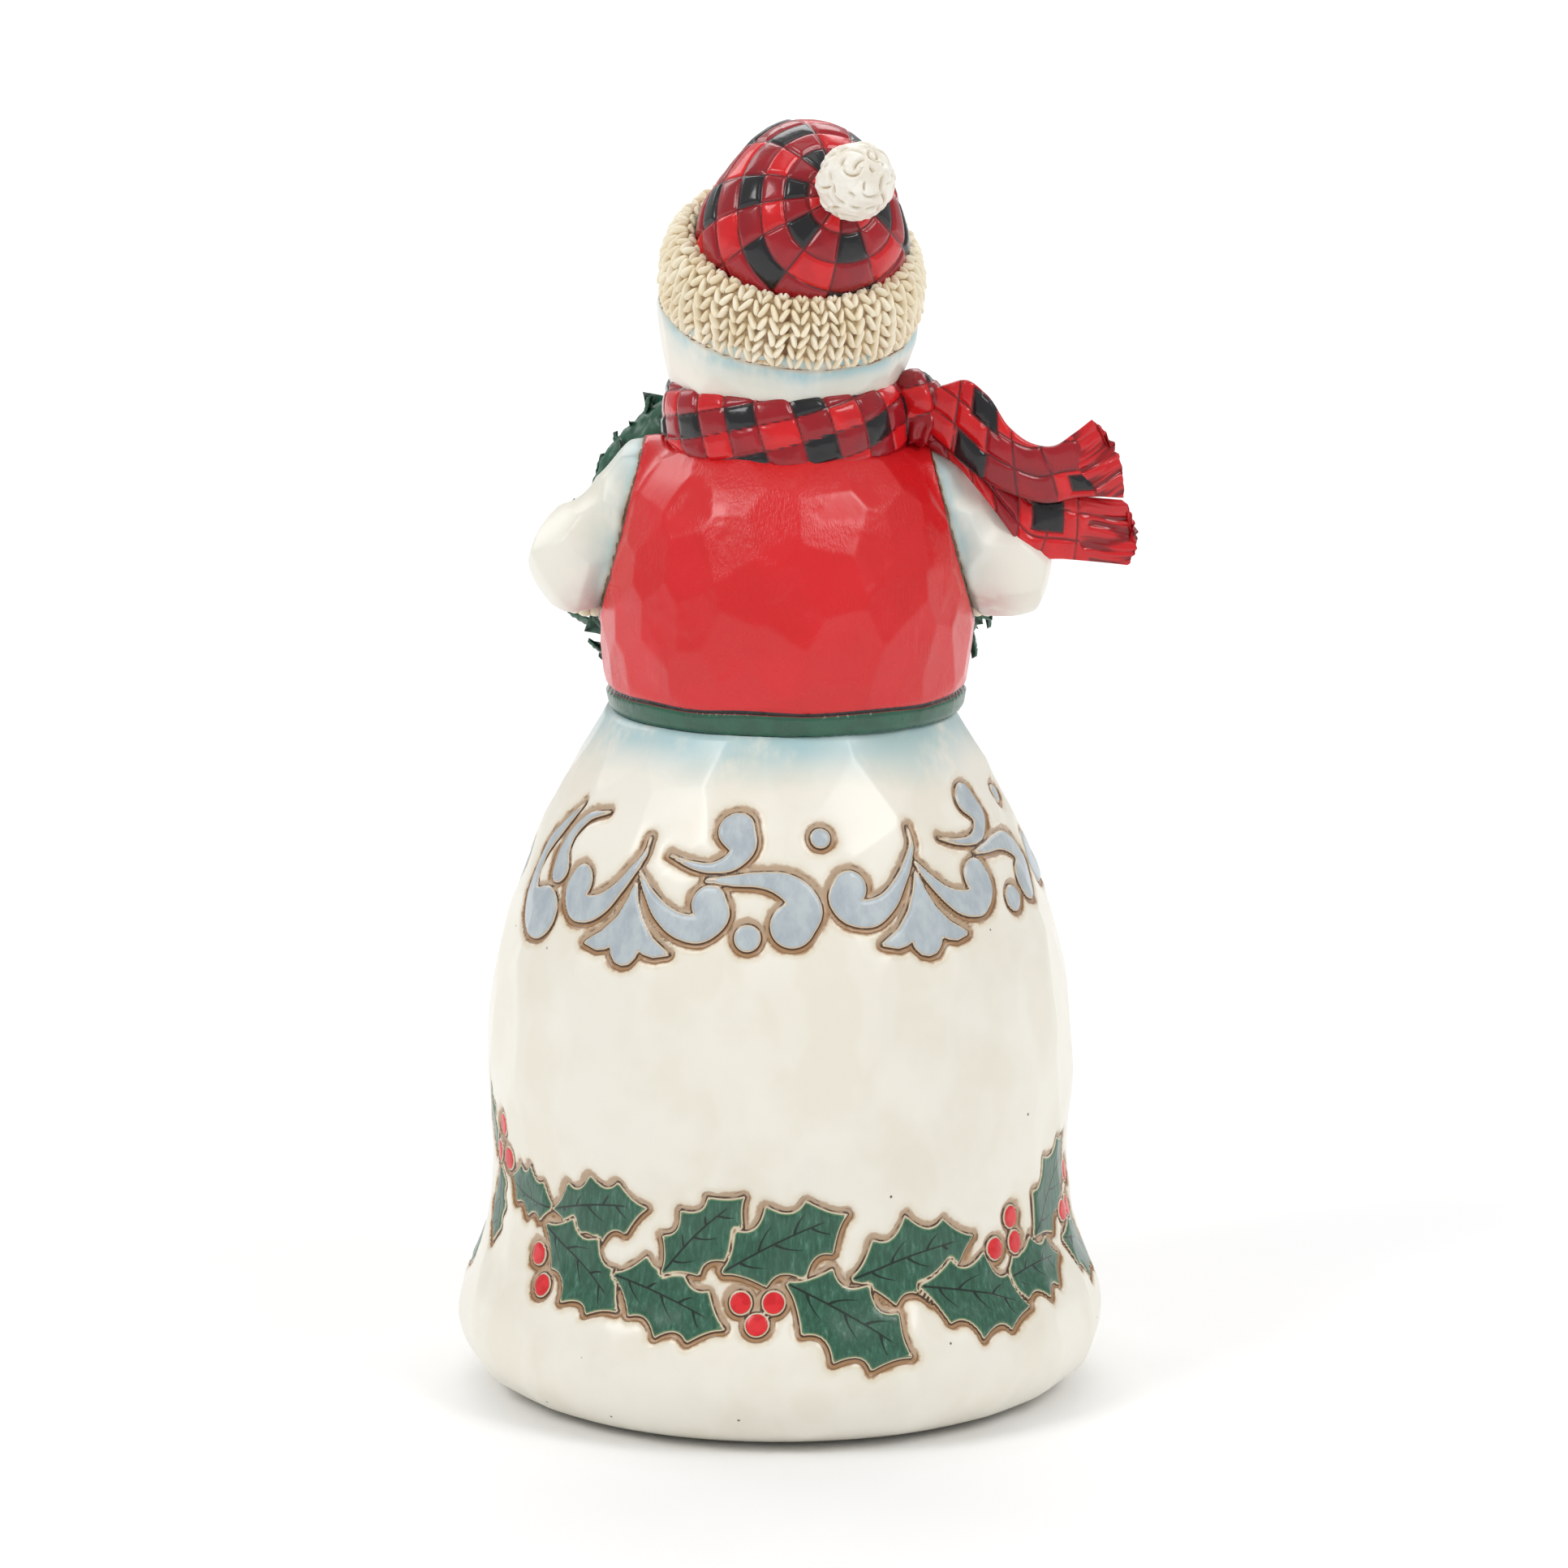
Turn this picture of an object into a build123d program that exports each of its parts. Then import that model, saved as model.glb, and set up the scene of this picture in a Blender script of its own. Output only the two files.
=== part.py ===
from build123d import *

import os
from math import cos, radians, sin, sqrt

# A standing snowman in carved and painted wood, made as separate pieces that are pinned and glued.
# Millimetres. +Z is up, the face looks towards -Y, and the figure's own left hand is towards +X.
# The origin is on the floor, on the turning axis of the lower body.

os.makedirs("parts", exist_ok=True)

# Driving dimensions.
FOOT_R = 62.2  # widest radius of the flared foot
FOOT_Z = 14.5  # height of that widest ring
FOOT_FLAT_R = 50.0  # radius where the foot turns under
LIFT = 0.6  # the felt holds the wood this far off the floor
WAIST_Z = 131.0  # top of the lower body, bottom of the torso
WAIST_R = 33.0
NECK_Z = 184.0  # top of the torso
HEAD_R = 24.0
UPPER_X = -1.2  # the torso, scarf and head share a turning axis a little to the figure's right
HEAD_C = Vector(UPPER_X, 0, 204)
GLUE = 0.1  # glue line between two fitted pieces
PIN_FIT = 0.05  # radial clearance of a dowel in its hole

# The lower body is hollowed from below and closed by a plate with a felt pad.
PLATE_R = 44.0
PLATE_T = 5.0
FELT_R = 41.0
FELT_T = 1.6
CAVITY_R = 40.0
CAVITY_TOP_Z = 88.0  # the top of the cavity's dome

# The hat sits tipped back, and leans to the figure's right.
HAT_AXIS = Vector(-0.11, 0.375, 0.92).normalized()
CUFF_LOW, CUFF_HIGH = 2.5, 16.8  # the cuff's two edges, along the hat's axis from the head's centre
CUFF_R = 24.6
CROWN_R = 20.8
CROWN_C = Vector(-3.8, 6.5, 221.4)
POMPOM_R = 7.4
POMPOM_C = Vector(-13.9, 27.3, 233.6)

# The scarf is a fat band round the neck, with a knot and two tails on the figure's right.
SCARF_Z = 186.2
SCARF_MID_R = 18.9
SCARF_HALF_W, SCARF_HALF_H = 4.6, 6.9
KNOT_C = Vector(-26.6, 2.6, 189.6)
KNOT_R, KNOT_REACH = 5.2, 1.8  # an upright capsule: its radius, and its end balls' distance from its middle
TAIL_T = 3.6

# The wreath leans on the belly, and its top tips towards the chest.
WREATH_C = Vector(UPPER_X, -41.8, 152)
WREATH_TILT = 9.5
WREATH_R = 28.0
WREATH_TUBE = 8.0
WREATH_DEEP = 7.7  # half the ring's depth, front to back
LEAF_L, LEAF_T = 13.0, 1.2
BERRY_R = 2.0
SPRIG_ANGLES = [48, 132, 205, 335]
CONE_ANGLES = [78, 102]

# Arms, from shoulder to elbow to wrist, on the figure's left. The right elbow stands out further.
SHOULDER = Vector(24.5, -1, 173)
ELBOW = Vector(37.7, -2, 159)
RIGHT_ELBOW = Vector(-42.1, -2, 158)
WRIST = Vector(37.0, -31, 151.5)
SHOULDER_R, ELBOW_R, WRIST_R = 8.2, 8.8, 6.8
MITTEN_C = Vector(36.6, -42, 150.5)
MITTEN_R = 9.2


def lathe(*edges):
    """The solid that a closed outline of edges, drawn as radius and height, turns about Z."""
    return revolve(Plane.XZ * make_face(Wire(edges)), Axis.Z)


def rod(start, end, radius, end_radius=None):
    """A round rod or cone between two points."""
    way = end - start
    end_radius = radius if end_radius is None else end_radius
    if abs(end_radius - radius) < 1e-6:
        shape = Cylinder(radius, way.length, align=(Align.CENTER, Align.CENTER, Align.MIN))
    else:
        shape = Cone(radius, end_radius, way.length, align=(Align.CENTER, Align.CENTER, Align.MIN))
    return Plane(origin=start, z_dir=way) * shape


def ball(centre, radius):
    return Pos(*centre) * Sphere(radius)


def mirrored(point, side):
    """A left-hand point for side 1, or its mirror image across the upper body's axis for side -1."""
    return point if side > 0 else Vector(2 * UPPER_X - point.X, point.Y, point.Z)


def lower_outline():
    foot = ThreePointArc((FOOT_FLAT_R, LIFT), (58.09, 4.59), (FOOT_R, FOOT_Z))
    side = Spline(
        (FOOT_R, FOOT_Z), (57.3, 29), (55.2, 42), (56.1, 66), (50.8, 94.7), (39.2, 119.9), (WAIST_R, WAIST_Z),
        tangents=((0, 1), (-0.5, 1)),
    )
    return [
        Line((0, LIFT), (FOOT_FLAT_R, LIFT)), foot, side,
        Line((WAIST_R, WAIST_Z), (0, WAIST_Z)), Line((0, WAIST_Z), (0, LIFT)),
    ]


def cavity():
    wall_low = LIFT + PLATE_T
    dome = Vector(0, 0, CAVITY_TOP_Z - CAVITY_R)
    hollow = rod(Vector(0, 0, wall_low - 1), dome, CAVITY_R) + ball(dome, CAVITY_R)
    rebate = rod(Vector(0, 0, LIFT - 1), Vector(0, 0, wall_low), PLATE_R)
    return hollow + rebate


def torso_outline(grow=0.0):
    """The vest's outline, from the hem to the neck. grow makes it larger, to cut a fitted piece with."""
    side = Spline(
        (33.7 + grow, WAIST_Z), (35.2 + grow, 144), (35.0 + grow, 153), (30.6 + grow, 172),
        (20.0 + grow, 182.6 + grow), (13.0, NECK_Z + grow),
        tangents=((0.25, 1), (-1, 0)),
    )
    return [
        Line((0, WAIST_Z), (33.7 + grow, WAIST_Z)), side,
        Line((13.0, NECK_Z + grow), (0, NECK_Z + grow)), Line((0, NECK_Z + grow), (0, WAIST_Z)),
    ]


# Pins. Each is (name, from, to, radius); its hole is PIN_FIT wider and half a millimetre deeper.
def arm_pin(side):
    shoulder = mirrored(SHOULDER, side)
    return shoulder - Vector(side * 9, 0, -2), shoulder + Vector(side * 5, 0, -3)


def wreath_point(angle, radius=WREATH_R, out=0.0):
    """A point in the wreath's own plane, out towards the viewer of its front."""
    a = radians(angle)
    return WREATH_PLANE.from_local_coords(Vector(radius * cos(a), radius * sin(a), out))


WREATH_PLANE = Plane(
    origin=WREATH_C, x_dir=(1, 0, 0), z_dir=(0, -cos(radians(WREATH_TILT)), sin(radians(WREATH_TILT)))
)
POMPOM_WAY = (POMPOM_C - CROWN_C).normalized()
PINS = {
    "waist_dowel": [(Vector(0, 0, WAIST_Z - 16), Vector(0, 0, WAIST_Z + 14), 5.0)],
    "neck_dowel": [(Vector(UPPER_X, 0, NECK_Z - 12), Vector(UPPER_X, 0, NECK_Z + 12), 4.0)],
    "arm_dowels": [(*arm_pin(1), 2.5), (*arm_pin(-1), 2.5)],
    "hat_dowel": [(HEAD_C + HAT_AXIS * 15, HEAD_C + HAT_AXIS * 31, 2.5)],
    "pompom_peg": [(CROWN_C + POMPOM_WAY * 14.5, CROWN_C + POMPOM_WAY * 25, 1.5)],
    "mitten_pegs": [
        (mirrored(WRIST + Vector(0, 5, 1), s), mirrored(WRIST - Vector(0, 6, 0.5), s), 1.5)
        for s in (1, -1)
    ],
    "knot_pin": [(KNOT_C + Vector(8.4, 0, -3.8), KNOT_C + Vector(0, 0, -3.2), 1.0)],
    "tail_pins": [
        (KNOT_C + Vector(-1, 2.4, 0.5), KNOT_C + Vector(-9, 2.4, -1.5), 0.8),
        (KNOT_C + Vector(-1, -1.4, -4.2), KNOT_C + Vector(-7.5, -1.4, -9.2), 0.8),
    ],
    "wreath_pins": [
        (wreath_point(90) - Vector(0, 0, 2.2), Vector(UPPER_X, -21, wreath_point(90).Z - 2.2), 0.9),
        (wreath_point(270), Vector(UPPER_X, -31, wreath_point(270).Z), 0.9),
    ],
}
HOLE_EXTRA = 0.5


def pin_solids(name):
    return [rod(a, b, r) for a, b, r in PINS[name]]


def drilled(shape, *names):
    """The shape with the holes of the named pins."""
    for name in names:
        for a, b, r in PINS[name]:
            way = (b - a).normalized() * HOLE_EXTRA
            shape = shape - rod(a - way, b + way, r + PIN_FIT)
    return shape


def solids(shapes):
    return Compound(children=[s for shape in shapes for s in shape.solids()])


def biggest(shape):
    """The largest solid of a cut piece, without the slivers that a cut can leave."""
    return max(shape.solids(), key=lambda s: s.volume)


def save(name, shape):
    export_step(shape, f"parts/{name}.step")


# Fitted envelopes: each is a finished piece grown by a glue line, to cut its neighbours with.
torso_cut = Pos(UPPER_X, 0, 0) * lathe(*torso_outline(GLUE))
head_cut = ball(HEAD_C, HEAD_R + GLUE)
hat_plane = Plane(origin=HEAD_C, z_dir=HAT_AXIS)


def above_hat_plane(distance):
    """A block that fills everything past a plane across the hat's axis."""
    return hat_plane * Pos(0, 0, distance) * Box(120, 120, 80, align=(Align.CENTER, Align.CENTER, Align.MIN))


def build_body():
    lower = lathe(*lower_outline()) - cavity()
    save("lower_body", drilled(lower, "waist_dowel", "wreath_pins"))
    plate = rod(Vector(0, 0, LIFT), Vector(0, 0, LIFT + PLATE_T - GLUE), PLATE_R - GLUE)
    recess = rod(Vector(0, 0, LIFT - 1), Vector(0, 0, FELT_T + GLUE), FELT_R + GLUE)
    save("base_plate", plate - recess)
    save("felt_pad", rod(Vector(0, 0, 0), Vector(0, 0, FELT_T), FELT_R))
    torso = Pos(UPPER_X, 0, 0) * lathe(*torso_outline())
    torso = torso & Pos(0, 0, WAIST_Z + GLUE) * Box(99, 99, 99, align=(Align.CENTER, Align.CENTER, Align.MIN))
    save("torso", drilled(torso, "waist_dowel", "neck_dowel", "arm_dowels", "wreath_pins"))
    button_z = [141, 152, 163]
    save("vest_buttons", solids([button(z) for z in button_z]))


def button(z):
    """A domed button, flat on the back, set against the front of the vest."""
    front = {141: 35.0, 152: 35.15, 163: 33.6}[z]
    lean = {141: -6, 152: 3, 163: 14}[z]
    shape = Cylinder(2.3, 1.0, align=(Align.CENTER, Align.CENTER, Align.MIN))
    shape = fillet(shape.edges().sort_by(Axis.Z)[-1], 0.6)
    return Pos(UPPER_X, -front - 0.45, z) * Rot(90 - lean, 0, 0) * shape


def build_head():
    head = ball(HEAD_C, HEAD_R)
    neck = Box(99, 99, 99, align=(Align.CENTER, Align.CENTER, Align.MIN))
    head = head & Pos(0, 0, NECK_Z + 2 * GLUE) * neck
    for side in (1, -1):
        head = head - ball(eye_centre(side), EYE_R + GLUE)
    for angle in MOUTH_ANGLES:
        head = head - ball(mouth_centre(angle), COAL_R + GLUE)
    nose_socket = rod(NOSE_ROOT, NOSE_ROOT + NOSE_WAY * 10, NOSE_PEG_R + PIN_FIT)
    save("head", drilled(head - nose_socket, "neck_dowel", "hat_dowel"))
    save("coal_eyes", solids([ball(eye_centre(s), EYE_R) for s in (1, -1)]))
    save("coal_mouth", solids([ball(mouth_centre(a), COAL_R) for a in MOUTH_ANGLES]))
    cone = rod(NOSE_ROOT + NOSE_WAY * 5.6, NOSE_ROOT + NOSE_WAY * 20, NOSE_R, 0.7)
    cone = cone + ball(NOSE_ROOT + NOSE_WAY * 20, 0.7) - head_cut
    peg = rod(NOSE_ROOT + NOSE_WAY * 0.3, NOSE_ROOT + NOSE_WAY * 8, NOSE_PEG_R)
    save("carrot_nose", biggest(cone + peg))


# The face: places on the head's sphere, as an angle round it and an angle up it.
EYE_R, COAL_R, NOSE_R, NOSE_PEG_R = 1.9, 0.95, 2.7, 1.4
MOUTH_ANGLES = [-24, -12.5, 0, 12.5, 24]
NOSE_WAY = Vector(0, -1, -0.06).normalized()
NOSE_ROOT = HEAD_C + Vector(0, -17, 0.6)


def on_head(round_angle, up_angle, radius=HEAD_R):
    a, u = radians(round_angle), radians(up_angle)
    return HEAD_C + Vector(sin(a) * cos(u), -cos(a) * cos(u), sin(u)) * radius


def eye_centre(side):
    return on_head(17 * side, 14, HEAD_R - 0.3)


def mouth_centre(angle):
    return on_head(angle, -19 + (angle / 24) ** 2 * 5.5, HEAD_R - 0.1)


def build_hat():
    crown = ball(CROWN_C, CROWN_R) & above_hat_plane(CUFF_HIGH + GLUE)
    crown = crown - head_cut
    save("hat_crown", biggest(drilled(crown, "hat_dowel", "pompom_peg")))
    low_r = sqrt(HEAD_R**2 - CUFF_LOW**2)
    outline = [
        Line((low_r - 6, CUFF_LOW), (CUFF_R - 0.4, CUFF_LOW)),
        ThreePointArc((CUFF_R - 0.4, CUFF_LOW), (CUFF_R + 0.2, 9), (CUFF_R - 2.6, CUFF_HIGH - 1)),
        ThreePointArc(
            (CUFF_R - 2.6, CUFF_HIGH - 1), (CUFF_R - 3.3, CUFF_HIGH - 0.3), (CUFF_R - 4.4, CUFF_HIGH)
        ),
        Line((CUFF_R - 4.4, CUFF_HIGH), (low_r - 11, CUFF_HIGH)),
        Line((low_r - 11, CUFF_HIGH), (low_r - 6, CUFF_LOW)),
    ]
    save("hat_cuff", biggest(hat_plane * lathe(*outline) - head_cut))
    pompom = ball(POMPOM_C, POMPOM_R) - ball(CROWN_C, CROWN_R + GLUE)
    save("pompom", drilled(pompom, "pompom_peg"))


def tail(outline, y):
    """A flat scarf tail: a closed outline in X and Z, TAIL_T thick, with its middle at y."""
    face = make_face(Polyline(*outline, close=True))
    return Pos(0, y + TAIL_T / 2, 0) * extrude(Plane.XZ * face, TAIL_T)


def scarf_band(grow):
    """The scarf's section, as radius and height, before the neck takes its inner side away."""
    width, height = 2 * (SCARF_HALF_W + grow), 2 * (SCARF_HALF_H + grow)
    return Pos(SCARF_MID_R, SCARF_Z) * RectangleRounded(width, height, SCARF_HALF_W - 0.3 + grow)


def knot_lump(grow=0.0):
    reach = Vector(0, 0, KNOT_REACH)
    shape = rod(KNOT_C - reach, KNOT_C + reach, KNOT_R + grow)
    return shape + ball(KNOT_C - reach, KNOT_R + grow) + ball(KNOT_C + reach, KNOT_R + grow)


def build_scarf():
    band = scarf_band(0)
    band = band - make_face(Wire(torso_outline(GLUE))) - Pos(0, HEAD_C.Z) * Circle(HEAD_R + GLUE)
    wrap = Pos(UPPER_X, 0, 0) * revolve(Plane.XZ * band, Axis.Z)
    save("scarf_wrap", drilled(biggest(wrap), "knot_pin"))
    ring_cut = Pos(UPPER_X, 0, 0) * revolve(Plane.XZ * scarf_band(GLUE), Axis.Z)
    knot_cut = knot_lump(GLUE)
    arm_cut = limb(-1, GLUE)
    knot = biggest(knot_lump() - ring_cut - head_cut - torso_cut - arm_cut)
    save("scarf_knot", drilled(knot, "knot_pin", "tail_pins"))
    upper = tail(
        [(-29, 191.5), (-34.9, 194.4), (-38.7, 192.4), (-43.3, 185), (-47.2, 182.2), (-51.3, 181.6),
         (-55.1, 183.8), (-58.3, 186.3), (-62.4, 181.6), (-64.4, 176.6), (-64.5, 171.7), (-57.9, 171.9),
         (-50.3, 170.4), (-42.6, 173.8), (-36.5, 178.4), (-29, 184)],
        5.0,
    )
    lower = tail(
        [(-29, 188), (-38, 186), (-46, 178), (-54, 173.5), (-64.7, 170.9), (-65.2, 165.4), (-66, 158.4),
         (-59.7, 158.5), (-52, 159.5), (-46.2, 160.1), (-43.6, 164.6), (-37.4, 173.1), (-29, 181)],
        1.2,
    )
    cut = [knot_cut, ring_cut, torso_cut, arm_cut]
    for name, shape in (("scarf_tail_upper", upper), ("scarf_tail_lower", lower)):
        for tool in cut:
            shape = shape - tool
        save(name, biggest(drilled(biggest(shape), "tail_pins")))


def limb(side, grow=0.0):
    """One arm, from the shoulder round the elbow to the wrist."""
    points = [mirrored(SHOULDER, side), ELBOW if side > 0 else RIGHT_ELBOW, mirrored(WRIST, side)]
    radii = [r + grow for r in (SHOULDER_R, ELBOW_R, WRIST_R)]
    shape = ball(points[0], radii[0]) + ball(points[1], radii[1]) + ball(points[2], radii[2])
    for i in range(2):
        shape = shape + rod(points[i], points[i + 1], radii[i], radii[i + 1])
    return shape


def mitten(grow=0.0):
    """The left mitten: a ball of a hand, and a thumb over the wreath."""
    thumb_root, thumb_tip = MITTEN_C + Vector(-1.5, -3, 5), MITTEN_C + Vector(-6.5, -8, 8.5)
    shape = ball(MITTEN_C, MITTEN_R + grow)
    return shape + rod(thumb_root, thumb_tip, 3.0 + grow) + ball(thumb_tip, 3.0 + grow)


def build_arms():
    middle = Plane(origin=(UPPER_X, 0, 0), z_dir=(1, 0, 0))
    ring_cut = WREATH_PLANE * Rot(0, 0, 45) * Torus(WREATH_R, WREATH_TUBE + GLUE)
    hand = biggest(drilled(biggest(mitten() - ring_cut), "mitten_pegs"))
    save("mitten_left", hand)
    save("mitten_right", biggest(mirror(hand, middle)))
    wrist_cut = mitten(GLUE)
    left = drilled(biggest(limb(1) - torso_cut - wrist_cut), "arm_dowels", "mitten_pegs")
    right = drilled(biggest(limb(-1) - torso_cut - mirror(wrist_cut, middle)), "arm_dowels", "mitten_pegs")
    save("arm_left", biggest(left))
    save("arm_right", biggest(right))


def leaf():
    """A holly leaf lying flat along +X: spines at the tips, hollow curves between them."""
    half = [(0, 0), (3.1, 2.4), (6.6, 3.1), (9.9, 2.2), (LEAF_L, 0)]
    spines = half + [(x, -y) for x, y in reversed(half[1:-1])]
    edges = []
    for (x0, y0), (x1, y1) in zip(spines, spines[1:] + spines[:1]):
        middle = ((x0 + x1) / 2, (y0 + y1) / 2 * 0.86)
        edges.append(ThreePointArc((x0, y0), middle, (x1, y1)))
    return extrude(make_face(Wire(edges)), LEAF_T)


def build_wreath():
    section = Pos(WREATH_R, 0) * RectangleRounded(2 * WREATH_TUBE, 2 * WREATH_DEEP, WREATH_DEEP - 0.3)
    ring = WREATH_PLANE * revolve(Plane.XZ * section, Axis.Z)
    save("wreath_ring", biggest(drilled(ring, "wreath_pins")))
    leaves, berries = [], []
    for angle in SPRIG_ANGLES:
        place = WREATH_PLANE * Rot(0, 0, angle) * Pos(WREATH_R, 0, WREATH_DEEP + GLUE)
        for turn in (0, 120, 240):
            leaves.append(place * Rot(0, 0, turn) * Pos(1.2, 0, 0) * leaf())
        for turn in (60, 180, 300):
            berries.append(place * Rot(0, 0, turn) * Pos(2.45, 0, LEAF_T + GLUE + BERRY_R) * Sphere(BERRY_R))
    save("wreath_leaves", solids(leaves))
    save("wreath_berries", solids(berries))
    cone = scale(Sphere(1), (5.4, 3.9, 3.6))
    cone_out = WREATH_DEEP + LEAF_T + 2 * GLUE + 3.6
    place = Pos(WREATH_R, 0, cone_out) * Rot(0, 0, 70)
    save("pine_cones", solids([WREATH_PLANE * Rot(0, 0, a) * place * cone for a in CONE_ANGLES]))
    save("wreath_bow", bow())


def bow():
    """Two loops, two tails and a knot, flat on the lowest part of the ring."""
    place = WREATH_PLANE * Pos(0, -WREATH_R, WREATH_DEEP + GLUE)
    shape = Cylinder(3.2, 4.6, align=(Align.CENTER, Align.CENTER, Align.MIN))
    loop = make_face(Polyline((1, 1.5), (11.5, 5.2), (13.2, 0), (11.5, -4.4), (1, -1.5), close=True))
    end = make_face(Polyline((-1.2, -1), (-8.6, -10), (-5.4, -11.4), (-2.9, -13), (1.2, -1), close=True))
    for side in (1, -1):
        flat = loop + end if side > 0 else mirror(loop, Plane.YZ) + mirror(end, Plane.YZ)
        shape = shape + extrude(flat, 3.4)
    return biggest(place * shape)


def build_pins():
    for name in PINS:
        save(name, solids(pin_solids(name)))


build_body()
build_head()
build_hat()
build_scarf()
build_arms()
build_wreath()
build_pins()
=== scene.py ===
from math import cos, pi, radians, sin, sqrt

import bpy
import numpy as np
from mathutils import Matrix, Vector


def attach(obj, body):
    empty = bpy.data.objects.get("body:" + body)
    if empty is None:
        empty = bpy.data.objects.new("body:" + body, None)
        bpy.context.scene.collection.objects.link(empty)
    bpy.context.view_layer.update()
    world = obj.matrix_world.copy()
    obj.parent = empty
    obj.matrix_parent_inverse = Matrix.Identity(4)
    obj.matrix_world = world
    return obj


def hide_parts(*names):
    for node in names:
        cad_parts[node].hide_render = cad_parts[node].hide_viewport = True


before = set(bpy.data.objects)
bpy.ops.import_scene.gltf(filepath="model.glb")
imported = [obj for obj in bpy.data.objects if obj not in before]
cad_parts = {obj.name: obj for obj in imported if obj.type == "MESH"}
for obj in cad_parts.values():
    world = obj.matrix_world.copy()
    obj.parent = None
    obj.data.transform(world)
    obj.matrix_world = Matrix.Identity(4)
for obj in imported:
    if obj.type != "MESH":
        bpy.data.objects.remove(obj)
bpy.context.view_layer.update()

# A carved and painted snowman. Shapes are worked out in millimetres and written in metres.
# The face looks towards -Y. Angles round the figure are in degrees from its back (+Y), towards -X.

MM = 0.001

FLOOR_GAP = 0.6  # the felt holds the wood this far off the floor
PLATE_R, PLATE_TOP = 44.0, 5.45  # the plate that closes the foot fits below this
WAIST_Z, NECK_Z = 131.0, 184.0  # the torso's ends
GLUE = 0.1  # the glue line between two pieces
UPPER_X = -1.2  # the turning axis of the torso, scarf and head
HEAD_C, HEAD_R = np.array([UPPER_X, 0, 204.0]), 24.0
HAT_AXIS = np.array([-0.11, 0.375, 0.92]) / np.linalg.norm([-0.11, 0.375, 0.92])
CROWN_C, CROWN_R = np.array([-3.8, 6.5, 221.4]), 20.8
POMPOM_C, POMPOM_R = np.array([-13.9, 27.3, 233.6]), 7.4
WREATH_C, WREATH_TILT, WREATH_R, WREATH_TUBE = np.array([UPPER_X, -41.8, 152.0]), 9.5, 28.0, 7.7


# ---------------------------------------------------------------- numbers and fields


def unit(v):
    v = np.asarray(v, float)
    return v / np.linalg.norm(v, axis=-1, keepdims=True)


def xyz(*parts):
    """Points from coordinates of any shapes that go together."""
    return np.stack(np.broadcast_arrays(*parts), axis=-1)


def turns(count, start=0):
    """Evenly spaced angles, once round."""
    return np.linspace(start, start + 2 * pi, count, endpoint=False)


def swing(angle, a, b):
    """The direction at an angle from a towards b."""
    return np.cos(angle)[..., None] * a + np.sin(angle)[..., None] * b


def square_to(way, v):
    """The direction of the part of v at right angles to way."""
    return unit(v - (v @ way) * way)


def run_length(points):
    """How far each point is along the line through them."""
    return np.concatenate([[0], np.cumsum(np.linalg.norm(np.diff(points, axis=0), axis=1))])


def step(low, high, x):
    """Rises smoothly from 0 at low to 1 at high."""
    t = np.clip((np.asarray(x, float) - low) / (high - low), 0, 1)
    return t * t * (3 - 2 * t)


def hashed(ix, iy, iz, seed):
    h = (ix * 374761393 + iy * 668265263 + iz * 1440662683 + seed * 974634777) & 0xFFFFFFFF
    h = ((h ^ (h >> 13)) * 1274126177) & 0xFFFFFFFF
    return ((h ^ (h >> 16)) & 0xFFFFFF) / 0xFFFFFF


def noise(points, size, seed=0, octaves=1):
    """Smooth noise from -1 to 1 at points, with features about size apart."""
    total, scale_sum = 0, 0
    for octave in range(octaves):
        p = np.asarray(points, float) * (2**octave / size) + 1000.5
        cell = np.floor(p).astype(np.int64)
        f = p - cell
        f = f * f * (3 - 2 * f)
        value = 0
        for dx in (0, 1):
            for dy in (0, 1):
                for dz in (0, 1):
                    weight = (f[..., 0] if dx else 1 - f[..., 0]) * (f[..., 1] if dy else 1 - f[..., 1])
                    weight = weight * (f[..., 2] if dz else 1 - f[..., 2])
                    value = value + weight * hashed(
                        cell[..., 0] + dx, cell[..., 1] + dy, cell[..., 2] + dz, seed + octave
                    )
        total = total + (value * 2 - 1) / 2**octave
        scale_sum += 1 / 2**octave
    return total / scale_sum


def spread(points, gap, seed):
    """Indices of a scatter of points that stay about gap apart."""
    order = np.random.default_rng(seed).permutation(len(points))
    kept = []
    for i in order[:6000]:
        p = points[i]
        if not kept or np.min(np.sum((points[kept] - p) ** 2, axis=1)) > gap * gap:
            kept.append(i)
    return np.array(kept)


def knife(points, gap, bend, seed, soft=0.1, vary=0.12, stretch=(1, 1, 1)):
    """Height of knife cuts over a surface: flat facets of about gap, with ridges between them.

    bend is half of the surface's curvature for each axis, so that each facet comes out flat."""
    flat = points.reshape(-1, 3)
    scaled = flat / np.array(stretch)
    seeds = flat[spread(scaled, gap, seed)]
    lift = np.random.default_rng(seed + 1).uniform(-vary, vary, len(seeds))
    bend = np.broadcast_to(np.asarray(bend, float), 3)
    height = np.empty(len(flat))
    for i in range(0, len(flat), 4096):
        d = flat[i : i + 4096, None] - seeds[None]
        q = np.partition((d * d) @ bend + lift, 1, axis=1)
        first, second = q[:, 0], q[:, 1]
        height[i : i + 4096] = first - np.maximum(soft - (second - first), 0) ** 2 / (4 * soft)
    return (height - height.mean()).reshape(points.shape[:-1])


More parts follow.
